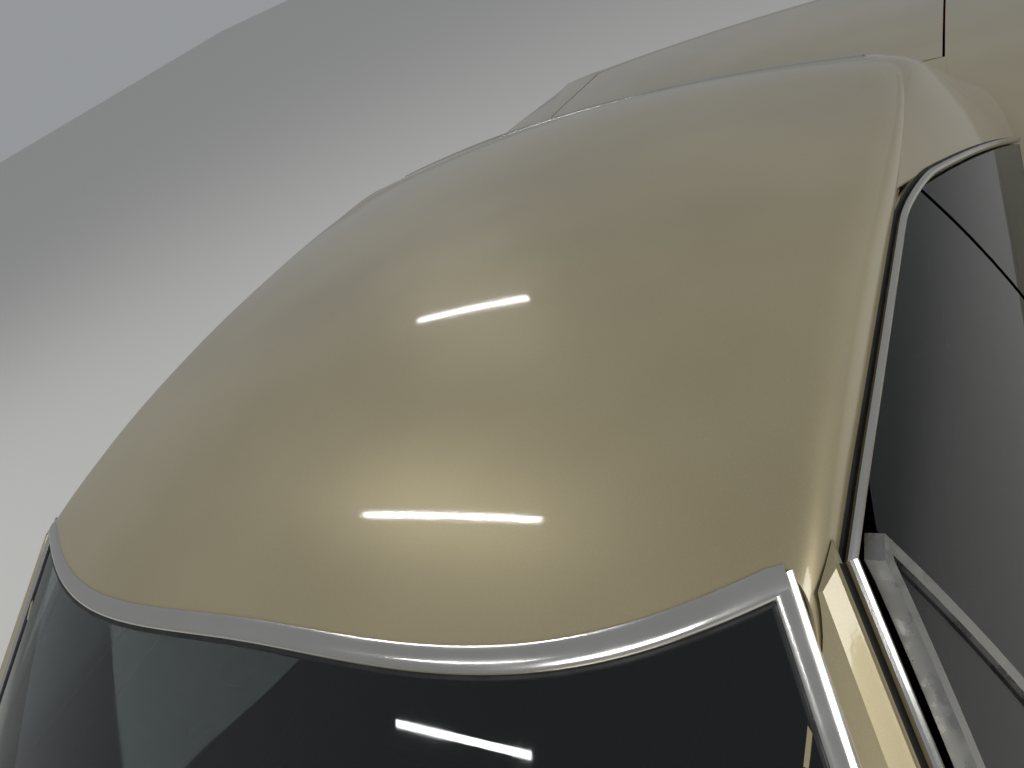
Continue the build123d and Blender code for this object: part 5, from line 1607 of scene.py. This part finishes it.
class HARDTOP_OT_seats(bpy.types.Operator):
    """Two bucket seats and the rear bench, as stuffed vinyl with sewn pleats"""

    bl_idname = "hardtop.seats"
    bl_label = "Seats"

    def execute(self, context):
        bases, level, axes = [], np.eye(3), tilted(SEAT_LEAN)
        for name, side in SIDES:
            x = side * SEAT_X
            lines = pleats(-0.13, 0.13, 7, -0.19, 0.19) + pleats(-0.165, 0.165, 2, -0.22, 0.22, 0.008)
            lines.append((1, -0.19, -0.22, 0.22, 0.007))
            seat = cushion(f"seat_cushion_{name}", ((x, *SEAT_PLACE), SEAT_HALF, 0.045), level, lines)
            if name == "left":
                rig.replaces(seat, "front_seats")
            middle = np.array([x, *BACK_FOOT]) + BACK_MIDDLE * axes[1]
            lines = pleats(-0.13, 0.13, 7, -0.17, 0.13) + pleats(-0.165, 0.165, 2, -0.19, 0.19, 0.008)
            lines.append((1, 0.145, -0.2, 0.2, 0.007))
            cushion(f"seat_back_{name}", (middle, BACK_HALF, 0.038), axes, lines)
            bases.append(rounded_box((x, *BASE_PLACE), BASE_HALF, 0.008))
            for y in FOOT_YS:
                bases.append(rounded_box((x - FOOT_IN, y, FOOT_Z), FOOT_HALF, 0.002, None, 1))
            shell = rounded_box(middle - SHELL_BEHIND * axes[2], SHELL_HALF, 0.010, axes, 4)
            put(f"seat_shell_{name}", shell, "body", "dash_plastic")
            discs = [turned(SEAT_HINGE, (x + s * HINGE_HALF, *HINGE_PLACE), ACROSS, 28) for s in (-1, 1)]
            put(f"seat_hinges_{name}", joined(*discs), "body", "chrome")
        put("seat_bases", joined(*bases), "body", "dash_plastic")
        axes = tilted(BENCH_LEAN)
        middle = np.array(BENCH_BACK_FOOT) + BENCH_BACK_MIDDLE * axes[1]
        for name, core, core_axes, low, high, divide in (
            ("rear_cushion", (BENCH_PLACE, BENCH_HALF, 0.042), level, -0.14, 0.14, 0.15),
            ("rear_back", (middle, BENCH_BACK_HALF, 0.034), axes, -0.17, 0.13, 0.18),
        ):
            lines = [c for m in (-BENCH_SIDE, BENCH_SIDE) for c in pleats(m - 0.17, m + 0.17, 9, low, high)]
            bench = cushion(name, core, core_axes, lines + pleats(-0.09, 0.09, 2, -divide, divide, 0.008))
            if name == "rear_cushion":
                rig.replaces(bench, "rear_seat")
        put("rear_base", rounded_box(BENCH_BASE_PLACE, BENCH_BASE_HALF, 0.01), "body", "carpet")
        return {"FINISHED"}


# Cabin

LINING_HALF, LINING_ENDS, LINING_SAG, BOW_PITCH = 0.545, (-0.34, 0.66), 0.004, 0.25
VISOR_X, VISOR_Y, VISOR_HALF, VISOR_TILT = 0.28, -0.33, (0.19, 0.072, 0.008), 0.12
ROD_Y, ROD_HALF, ROD_RADIUS, STALK_RADIUS = -0.402, 0.2, 0.0035, 0.005
MIRROR_MIDDLE, MIRROR_HALF = (0.0, -0.44, 1.205), (0.125, 0.008, 0.028)
MIRROR_GLASS_OUT, MIRROR_GLASS_HALF = 0.0085, (0.118, 0.0012, 0.022)


def probed(node, across, along, start, direction, axis):
    """A grid of points where rays from it meet a node, NaN where they miss; start gives a ray's origin."""
    grid = np.empty((len(along), len(across), 3))
    for i, a in enumerate(along):
        for j, b in enumerate(across):
            origin = start(a, b)
            where, _ = ray(node, origin, direction)
            grid[i, j] = origin
            grid[i, j, axis] = np.nan if where is None else where[axis]
    return grid


class HARDTOP_OT_headlining(bpy.types.Operator):
    """Headlining, sun visors and the inside mirror"""

    bl_idname = "hardtop.headlining"
    bl_label = "Headlining"

    def execute(self, context):
        across, along = np.linspace(-LINING_HALF, LINING_HALF, 45), np.linspace(*LINING_ENDS, 40)
        grid = probed("roof", across, along, lambda y, x: (x, y, UNDER_ROOF), UPWARDS, 2)
        grid = grid[~np.isnan(grid[:, :, 2]).all(1)]
        for row in grid:
            good = ~np.isnan(row[:, 2])
            row[:, 2] = np.interp(row[:, 0], row[good, 0], row[good, 2])
        grid[:, :, 2] -= LINING_SAG * (1 + np.abs(np.sin(grid[:, :, 1] / BOW_PITCH * np.pi)))
        put("headlining", sheet_between(grid, 0.0015), "body", "headliner", sharp=60)
        rods, visors = [], []
        axes = np.array([ACROSS, unit([0, 1, VISOR_TILT]), unit([0, -VISOR_TILT, 1])])
        for _, side in SIDES:
            z = ray("roof", (side * VISOR_X, -0.36, UNDER_ROOF), UPWARDS)[0][2]
            visors.append(rounded_box((side * VISOR_X, VISOR_Y, z - 0.026), VISOR_HALF, 0.007, axes, 4))
            rod = [(side * (VISOR_X + u), ROD_Y, z - 0.032) for u in np.linspace(-ROD_HALF, ROD_HALF, 6)]
            rods.append(round_tube(rod, ROD_RADIUS, 10))
        put("sun_visors", joined(*visors), "body", "headliner", "vinyl")
        centre = np.array(MIRROR_MIDDLE)
        put("inside_mirror", rounded_box(centre, MIRROR_HALF, 0.0075, None, 4), "body", "stainless")
        glass = rounded_box(centre + MIRROR_GLASS_OUT * TAILWARDS, MIRROR_GLASS_HALF, 0.001, None, 1)
        put("inside_mirror_face", glass, "body", "mirror", "chrome")
        top = ray("roof", (0, -0.42, UNDER_ROOF), UPWARDS)[0]
        stalk = np.array([centre + [0, -0.004, 0.02], [0, -0.44, (centre[2] + top[2]) / 2 + 0.01], top])
        rods.append(round_tube(stalk, STALK_RADIUS, 10, ACROSS))
        put("visor_rods", joined(*rods), "body", "chrome")
        return {"FINISHED"}


SPEAKER_CONE = (
    (0.001, 0.079), (0.005, 0.075), (0.006, 0.062), (0.002, 0.05), (0.0015, 0.02), (0.007, 0.014),
    (0.009, POLE),
)
SPEAKER_X, SPEAKER_Y, RING_OUT, RING_WIRE = 0.36, 1.17, 0.0085, 0.0016
SPEAKER_RINGS, SPEAKER_STEPS = (0.064, 0.054, 0.044, 0.034, 0.024), 56


class HARDTOP_OT_shelf(bpy.types.Operator):
    """Round loudspeakers under the backlight"""

    bl_idname = "hardtop.shelf"
    bl_label = "Package shelf"

    def execute(self, context):
        cones, rings = [], []
        angle = np.linspace(0, 2 * np.pi, SPEAKER_STEPS, endpoint=False)[:, None]
        for _, side in SIDES:
            spot, normal = facing("rear_bulkhead", (side * SPEAKER_X, SPEAKER_Y, ABOVE), -UPWARDS)
            cones.append(turned(SPEAKER_CONE, spot, normal, SPEAKER_STEPS))
            across = unit(np.cross(normal, TAILWARDS))
            circle = np.cos(angle) * across + np.sin(angle) * np.cross(normal, across)
            for r in SPEAKER_RINGS:
                ring = spot + normal * RING_OUT + r * circle
                rings.append(round_tube(ring, RING_WIRE, 6, normal, closed=True))
        put("loudspeakers", joined(*cones, *rings), "body", "dash_plastic")
        return {"FINISHED"}


# Door cards: the card's ends, the pleated panel's ends, then places (inwards, y, z) of what stands on it
CARD_ENDS, CARD_HEIGHTS = (-0.80, 0.255), (0.365, 0.855)
CARD_Y, CARD_Z = (-0.72, 0.19), (0.50, 0.79)
CARD_THICK, CARD_OUT, PLEAT_OUT, PLEAT_PITCH = 0.004, 0.006, 0.004, 0.036
ARMREST, ARMREST_HALF = (0.042, -0.16, 0.625), (0.034, 0.165, 0.022)
CRANK, KNOB, LEVER = (0.008, -0.43, 0.60), (0.030, -0.335, 0.546), (0.010, -0.20, 0.735)
CRANK_HUB = ((0, POLE), (0, 0.026), (0.010, 0.022), (0.016, 0.014), (0.020, POLE))
CRANK_KNOB = ((0, POLE), (0, 0.010), (0.004, 0.013), (0.024, 0.011), (0.028, 0.007), (0.029, POLE))
CRANK_ARM = ((0.024, -0.43, 0.60), (0.030, -0.38, 0.57), (0.032, -0.338, 0.548))
LEVER_ROSE = ((0, POLE), (0, 0.020), (0.008, 0.018), (0.013, POLE))
DOOR_PULL = ((0.018, -0.20, 0.735), (0.028, -0.25, 0.737), (0.026, -0.305, 0.735))


class HARDTOP_OT_door_cards(bpy.types.Operator):
    """Door cards with pleats, armrests, window cranks and inside handles"""

    bl_idname = "hardtop.door_cards"
    bl_label = "Door cards"

    def execute(self, context):
        for name, side in SIDES:
            node = f"door_{name}"
            inwards = -side * ACROSS
            across, along = np.linspace(*CARD_ENDS, 90), np.linspace(*CARD_HEIGHTS, 50)
            grid = probed(node, across, along, lambda z, y: (0, y, z), -inwards, 0)
            y, z = grid[:, :, 1], grid[:, :, 2]
            good = ~np.isnan(grid[:, :, 0])
            fit = np.stack([np.ones_like(z), z, z**2], -1)
            smooth = fit @ np.linalg.lstsq(fit[good], grid[good][:, 0] * side, rcond=None)[0]
            x = np.where(good, np.minimum(grid[:, :, 0] * side, smooth + 0.02), smooth)
            within = np.minimum.reduce([z - CARD_Z[0], CARD_Z[1] - z, y - CARD_Y[0], CARD_Y[1] - y])
            pleat = PLEAT_OUT * np.abs(np.sin(np.pi * y / PLEAT_PITCH)) ** 0.6
            edge = np.clip(within / 0.012, 0, 1)
            out = CARD_OUT + np.where(within > 0, edge * pleat - 0.002 * (1 - edge), 0.0)
            grid[:, :, 0] = side * (x - out)
            put(f"door_card_{name}", sheet_between(grid, -CARD_THICK * side), node, "vinyl", sharp=50)
            face = np.array([side * float(np.median(x)), 0, 0])

            def at(inward, y, z):
                """A place some way inwards of the card."""
                return face + inward * inwards + (0, y, z)

            rest = rounded_box(at(*ARMREST), ARMREST_HALF, 0.018, None, 5)
            put(f"armrest_{name}", rest, node, "vinyl")
            knob = turned(CRANK_KNOB, at(*KNOB), inwards, 24)
            put(f"crank_knob_{name}", knob, node, "wheel_plastic")
            arm = smooth_line([at(*place) for place in CRANK_ARM], 12)
            pull = smooth_line([at(*place) for place in DOOR_PULL], 12)
            bright = [
                turned(CRANK_HUB, at(*CRANK), inwards, 32),
                round_tube(arm, 0.0065, 10, (side, 0, 0.1)),
                turned(LEVER_ROSE, at(*LEVER), inwards, 28),
                round_tube(pull, 0.006, 10),
            ]
            put(f"door_levers_{name}", joined(*bright), node, "chrome")
        return {"FINISHED"}


# Dials: x, z and radius of each; switches: x and z; pedals: x, z and half size
DIALS = ((0.485, 0.808, 0.048), (0.275, 0.808, 0.048), (0.38, 0.815, 0.030), (0.165, 0.812, 0.026))
DIAL_MARKS, MARK_SPAN, NEEDLE_ANGLE = 13, 130, math.radians(-118)
NEEDLE_BOSS = ((0.001, POLE), (0.001, 0.005), (0.005, 0.004), (0.006, POLE))
SWITCHES = ((-0.05, 0.770), (0.05, 0.770), (0.60, 0.79), (0.16, 0.762))
SWITCH_KNOB = (
    (0, POLE), (0, 0.012), (0.004, 0.012), (0.006, 0.009), (0.020, 0.0105), (0.022, 0.008), (0.022, POLE)
)
RADIO, GLOVEBOX, LID_BUTTON_OUT = (0.0, 0.80), (-0.40, 0.80), 0.005
LID_BUTTON = ((0, POLE), (0, 0.011), (0.008, 0.010), (0.010, POLE))
DASH_HALF = 0.66
DASH_STRIP, DASH_STRIP_ZS = ((-4, -1), (-4, 1), (0, 2.2), (4, 1), (4, -1)), (0.86, 0.735)
STEERING_AXIS, STEERING_CENTRE = (0, 0.92, 0.39), (0.380, -0.560, 0.815)
HORN_OUT, HORN_RADIUS, HORN_DEGREES = 0.014, 0.135, (200, 340)
HORN_BOSS = ((0.004, POLE), (0.004, 0.036), (0.012, 0.034), (0.017, 0.022), (0.019, POLE))
PEDAL_Y, PEDAL_PIVOT_Z, PEDAL_TILT = -0.80, 0.655, 0.45
PEDALS = (
    (0.50, 0.36, (0.05, 0.004, 0.032)),
    (0.34, 0.36, (0.036, 0.004, 0.032)),
    (0.20, 0.33, (0.028, 0.004, 0.075)),
)


def on_dash(x, z):
    """The spot and outward normal of the dashboard behind a place."""
    return facing("dashboard", (x, 0.0, z), -TAILWARDS)


def dial(x, z, r):
    """A dial's bright ring, dark face, marks and needle with its boss."""
    spot, normal = on_dash(x, z)
    ring = ((0.0005, r), (0.010, r), (0.013, r + 0.004), (0.009, r + 0.008), (0.0005, r + 0.009))
    across = unit(np.cross(normal, UPWARDS))
    rise = np.cross(across, normal)

    def spoke(angle):
        """A direction in the dial's face, clockwise from its top."""
        return math.sin(angle) * across + math.cos(angle) * rise

    marks = []
    for k in range(DIAL_MARKS):
        a = math.radians(-MARK_SPAN + k * 2 * MARK_SPAN / (DIAL_MARKS - 1))
        half = (0.0011 if k % 3 else 0.0018, r * 0.08, 0.0004)
        centre = spot + normal * 0.0018 + spoke(a) * r * 0.84
        marks.append(rounded_box(centre, half, 0.0003, (spoke(a + math.pi / 2), spoke(a), normal), 1))
    hub = spot + normal * 0.004
    needle = round_tube([hub, hub + spoke(NEEDLE_ANGLE) * r * 0.74], 0.0009, 6, normal)
    dark = turned([(0.0012, r), (0.0014, POLE)], spot, normal, 56)
    bright = turned(ring, spot, normal, 56, closed=True)
    return bright, dark, joined(*marks), joined(needle, turned(NEEDLE_BOSS, spot, normal, 16))


def dash_plate(x, z, out, half, radius, steps):
    """A rounded plate square on the dashboard, some way out of it."""
    spot, normal = on_dash(x, z)
    axes = (ACROSS, unit(np.cross(normal, ACROSS)), normal)
    return rounded_box(spot + normal * out, half, radius, axes, steps)


class HARDTOP_OT_dash(bpy.types.Operator):
    """Dials, knobs, radio, glovebox lid, the steering wheel's horn ring with a column lever, and pedals"""

    bl_idname = "hardtop.dash"
    bl_label = "Dashboard"

    def execute(self, context):
        rings, dark, marks, needles = zip(*[dial(*place) for place in DIALS])
        put("dial_faces", joined(*dark), "body", "seal_rubber", "dash_plastic")
        put("dial_marks", joined(*marks), "body", "dial")
        put("dial_needles", joined(*needles), "body", "dial")
        bright = [*rings, *[turned(SWITCH_KNOB, *on_dash(*place), 24) for place in SWITCHES]]
        bright.append(dash_plate(*RADIO, 0.002, (0.092, 0.026, 0.004), 0.003, 2))
        scale = dash_plate(*RADIO, 0.0045, (0.062, 0.013, 0.003), 0.001, 1)
        put("radio_scale", scale, "body", "dash_plastic")
        lid = dash_plate(*GLOVEBOX, 0.001, (0.17, 0.048, 0.005), 0.004, 3)
        put("glovebox_lid", lid, "body", "dash_plastic")
        spot, normal = on_dash(*GLOVEBOX)
        bright.append(turned(LID_BUTTON, spot + normal * LID_BUTTON_OUT, normal, 24))
        for z in DASH_STRIP_ZS:
            starts = [(x, 0.0, z) for x in np.linspace(-DASH_HALF, DASH_HALF, 60)]
            line = laid(["dashboard"], starts, -TAILWARDS)
            bright.append(on_surface(*line, DASH_STRIP))
        put("dash_bright", joined(*bright), "body", "chrome")
        axis, centre = unit(STEERING_AXIS), np.array(STEERING_CENTRE)
        rise = np.cross(axis, ACROSS)
        angle = np.radians(np.linspace(*HORN_DEGREES, 40))[:, None]
        loop = centre + axis * HORN_OUT + HORN_RADIUS * (np.cos(angle) * ACROSS - np.sin(angle) * rise)
        lever = [centre - axis * 0.075 + ACROSS * 0.02, centre - axis * 0.07 + ACROSS * 0.19 + rise * 0.02]
        shapes = [round_tube(loop, 0.0042, 10, axis), turned(HORN_BOSS, centre, axis, 40)]
        shapes += [round_tube([centre + axis * 0.006, loop[k]], 0.0038, 8, axis) for k in (0, 20, 39)]
        put("horn_ring", joined(*shapes, round_tube(lever, 0.004, 8, axis)), "body", "chrome")
        pads, axes = [], np.array([ACROSS, unit([0, 1, PEDAL_TILT]), unit([0, -PEDAL_TILT, 1])])
        for x, z, half in PEDALS:
            pads.append(rounded_box((x, PEDAL_Y, z), half, 0.0035, axes, 2))
            stalk = [(x, PEDAL_Y - 0.006, z), (x, -0.90, z + 0.17), (x, -0.92, PEDAL_PIVOT_Z)]
            pads.append(round_tube(stalk, 0.007, 8, ACROSS))
        put("pedals", joined(*pads), "body", "seal_rubber")
        return {"FINISHED"}


CARPET_THICK, CARPET_UP, CARPET_HALF, CARPET_ENDS = 0.004, 0.003, 0.70, (-0.93, 0.90)
MAT_X, MAT_Y, MAT_HALF, MAT_RIBS = 0.42, -0.56, 0.17, 16
GEAR_Y, CONSOLE_Y, CONSOLE_HALF = -0.42, -0.30, (0.085, 0.24, 0.036)
SHIFT_BOOT = (
    (0, 0.042), (0.006, 0.040), (0.012, 0.030), (0.018, 0.029), (0.024, 0.018), (0.030, 0.010), (0.030, POLE)
)
SHIFT_KNOB = (
    (-0.024, POLE), (-0.022, 0.011), (-0.012, 0.022), (0, 0.026), (0.012, 0.022), (0.022, 0.011),
    (0.024, POLE),
)


class HARDTOP_OT_carpet(bpy.types.Operator):
    """Floor carpet, rubber mats and the gear lever on its console"""

    bl_idname = "hardtop.carpet"
    bl_label = "Carpet and console"

    def execute(self, context):
        across, along = np.linspace(-CARPET_HALF, CARPET_HALF, 80), np.linspace(*CARPET_ENDS, 90)
        grid = probed("floor_pan", across, along, lambda y, x: (x, y, OVER_FLOOR), -UPWARDS, 2)
        missed = np.isnan(grid[:, :, 2])
        grid[missed, 2] = np.nanmin(grid[:, :, 2])
        grid[:, :, 2] += CARPET_UP
        put("carpet", sheet_between(grid, CARPET_THICK), "body", "carpet", sharp=60)
        mats = []
        for _, side in SIDES:
            spot, _ = ray("floor_pan", (side * MAT_X, MAT_Y, OVER_FLOOR), -UPWARDS)
            mats.append(rounded_box(spot + [0, 0, 0.012], (0.18, MAT_HALF, 0.004), 0.003, None, 2))
            for k in np.linspace(-MAT_HALF + 0.03, MAT_HALF - 0.03, MAT_RIBS):
                mats.append(rounded_box(spot + [0, k, 0.017], (0.15, 0.003, 0.002), 0.001, None, 1))
        put("floor_mats", joined(*mats), "body", "seal_rubber")
        z = ray("floor_pan", (0, GEAR_Y, OVER_FLOOR), -UPWARDS)[0][2]
        console = rounded_box((0, CONSOLE_Y, z + 0.035), CONSOLE_HALF, 0.016, None, 5)
        put("console", console, "body", "dash_plastic")
        lever = smooth_line([(0, GEAR_Y, z + 0.068), (0, -0.43, z + 0.15), (0, -0.40, z + 0.235)], 16)
        put("shift_boot", turned(SHIFT_BOOT, (0, GEAR_Y, z + 0.069), UPWARDS, 32), "body", "seal_rubber")
        put("shift_lever", round_tube(lever, 0.006, 12, ACROSS), "body", "chrome")
        put("shift_knob", turned(SHIFT_KNOB, lever[-1], UPWARDS, 32), "body", "wheel_plastic")
        return {"FINISHED"}


# Engine bay

CLEANER_Y, CLEANER_R, CLEANER_TALL, HOOD_CLEAR = -1.62, 0.172, (0.03, 0.075), 0.025
HUB_HEIGHT, BLADES, FAN_AHEAD = 0.600, 5, 0.030
BLADE_MIDDLE, BLADE_HALF = 0.115, (0.082, 0.042, 0.0012)
COVER_X, COVER_LEAN, COVER_HALF = 0.205, 0.25, (0.052, 0.26, 0.026)
PLUG_FIRST, PLUG_PITCH, LEAD_RADIUS = -0.19, 0.126, 0.0037
LEAD_END = ((-0.012, POLE), (-0.012, 0.008), (0.014, 0.006), (0.014, POLE))
FAN_HUB = ((-0.02, POLE), (-0.02, 0.045), (0.03, 0.045), (0.045, 0.03), (0.045, POLE))
HOSE_R = 0.021
# x and z of each hose where it leaves the tank, bends twice and meets the engine
HOSE_ROUTES = (
    ((0.22, 0.73), (0.20, 0.735), (0.10, 0.70), (0.05, 0.67)),
    ((-0.22, 0.42), (-0.19, 0.42), (-0.10, 0.47), (-0.06, 0.50)),
)
HOSE_CLIP = ((-0.005, 0.0215), (-0.005, 0.0228), (0.005, 0.0228), (0.005, 0.0215))
RADIATOR_CAP = ((0, POLE), (0, 0.024), (0.006, 0.026), (0.010, 0.022), (0.014, 0.012), (0.015, POLE))


class HARDTOP_OT_engine_dress(bpy.types.Operator):
    """Air cleaner, rocker covers, ignition leads, radiator hoses, fan and radiator cap"""

    bl_idname = "hardtop.engine_dress"
    bl_label = "Engine dressing"

    def execute(self, context):
        y0 = CLEANER_Y
        top = ray("engine", (0, y0, ABOVE), -UPWARDS)[0]
        hood = ray("hood", (0, y0, 0.5), UPWARDS)[0]
        tall = float(np.clip(hood[2] - top[2] - HOOD_CLEAR, *CLEANER_TALL))
        cleaner = [
            (0, POLE), (0, 0.165), (0.006, CLEANER_R), (tall * 0.7, CLEANER_R), (tall * 0.8, 0.166),
            (tall * 0.86, 0.10), (tall * 0.93, 0.09), (tall * 0.95, POLE),
        ]
        put("air_cleaner", turned(cleaner, top, UPWARDS, 72), "body", "chrome")
        foot, head = tall * 0.9, tall + 0.006
        nut = [(foot, POLE), (foot, 0.018), (tall, 0.016), (head, 0.006), (head, POLE)]
        put("cleaner_nut", turned(nut, top, UPWARDS, 6), "body", "steel")
        covers, leads, ends = [], [], []
        for _, side in SIDES:
            x = side * COVER_X
            z = ray("engine", (x, y0, ABOVE), -UPWARDS)[0][2]
            axes = np.array([unit([1, 0, -side * COVER_LEAN]), TAILWARDS, unit([side * COVER_LEAN, 0, 1])])
            covers.append(rounded_box((x, y0, z + 0.016), COVER_HALF, 0.016, axes, 4))
            for y in y0 + PLUG_FIRST + PLUG_PITCH * np.arange(4):
                near = [(x + side * 0.060, y, z + 0.004), (x + side * 0.066, y, z + 0.045)]
                path = smooth_line([*near, (x, y + 0.02, z + 0.058), (x * 0.4, y0 + 0.30, z + 0.054)], 24)
                leads.append(round_tube(path, LEAD_RADIUS, 8, (0, 0.2, 1)))
                ends.append(turned(LEAD_END, path[0], UPWARDS, 12))
        put("rocker_covers", joined(*covers), "body", "chrome")
        put("ignition_leads", joined(*leads, *ends), "body", "seal_rubber")
        front_y = first_hit(["engine"], (0, -FAR, HUB_HEIGHT), TAILWARDS)[0][1]
        fan = [turned(FAN_HUB, (0, front_y - 0.005, HUB_HEIGHT), -TAILWARDS, 36)]
        for a in np.arange(BLADES) * 2 * math.pi / BLADES + 0.2:
            out = np.array([math.cos(a), 0, math.sin(a)])
            across = unit(np.cross(TAILWARDS, out) + 0.5 * TAILWARDS)
            axes = np.array([out, across, unit(np.cross(out, across))])
            middle = np.array([0, front_y - FAN_AHEAD, HUB_HEIGHT]) + out * BLADE_MIDDLE
            fan.append(rounded_box(middle, BLADE_HALF, 0.001, axes, 1))
        put("fan", joined(*fan), "body", "steel")
        tank_y = first_hit(["radiator"], (0.2, front_y - 0.02, 0.70), -TAILWARDS)[0][1]
        ys = (tank_y + 0.002, tank_y + 0.06, front_y - 0.09, front_y + 0.002)
        hoses = [smooth_line([(x, y, z) for y, (x, z) in zip(ys, route)], 28) for route in HOSE_ROUTES]
        tubes = [round_tube(hose, HOSE_R, 18) for hose in hoses]
        put("radiator_hoses", joined(*tubes), "body", "seal_rubber")
        clips = [turned(HOSE_CLIP, h[k], h[k] - h[k - 1], 30, closed=True) for h in hoses for k in (1, -2)]
        put("hose_clips", joined(*clips), "body", "steel")
        spot = ray("radiator", (0.0, tank_y - 0.02, ABOVE), -UPWARDS)[0]
        put("radiator_cap", turned(RADIATOR_CAP, spot, UPWARDS, 32), "body", "chrome")
        return {"FINISHED"}


class HARDTOP_PT_panel(bpy.types.Panel):
    """The sizes and the operators in the sidebar"""

    bl_idname = "HARDTOP_PT_panel"
    bl_label = "Hardtop"
    bl_space_type = "VIEW_3D"
    bl_region_type = "UI"
    bl_category = "Hardtop"

    def draw(self, context):
        for name in HardtopSizes.__annotations__:
            self.layout.prop(context.scene.hardtop_sizes, name)
        for operator in OPERATORS:
            self.layout.operator(operator.bl_idname)


OPERATORS = [c for c in list(globals().values()) if isinstance(c, type) and issubclass(c, bpy.types.Operator)]


def register():
    """Registers the sizes, the operators and the panel."""
    for cls in (HardtopSizes, *OPERATORS, HARDTOP_PT_panel):
        bpy.utils.register_class(cls)
    bpy.types.Scene.hardtop_sizes = bpy.props.PointerProperty(type=HardtopSizes)


def unregister():
    """Takes them away again."""
    del bpy.types.Scene.hardtop_sizes
    for cls in (HARDTOP_PT_panel, *reversed(OPERATORS), HardtopSizes):
        bpy.utils.unregister_class(cls)


def main():
    """Runs the operators in order and writes the boxes of the solids and of what is shown."""
    register()
    for operator in OPERATORS:
        group, name = operator.bl_idname.split(".")
        getattr(getattr(bpy.ops, group), name)()
    boxes = {"cad_box": CAD_BOX, "visual_box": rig.bounds()}
    with open("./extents.json", "w") as f:
        json.dump({key: [list(corner) for corner in box] for key, box in boxes.items()}, f)


if __name__ == "__main__":
    main()
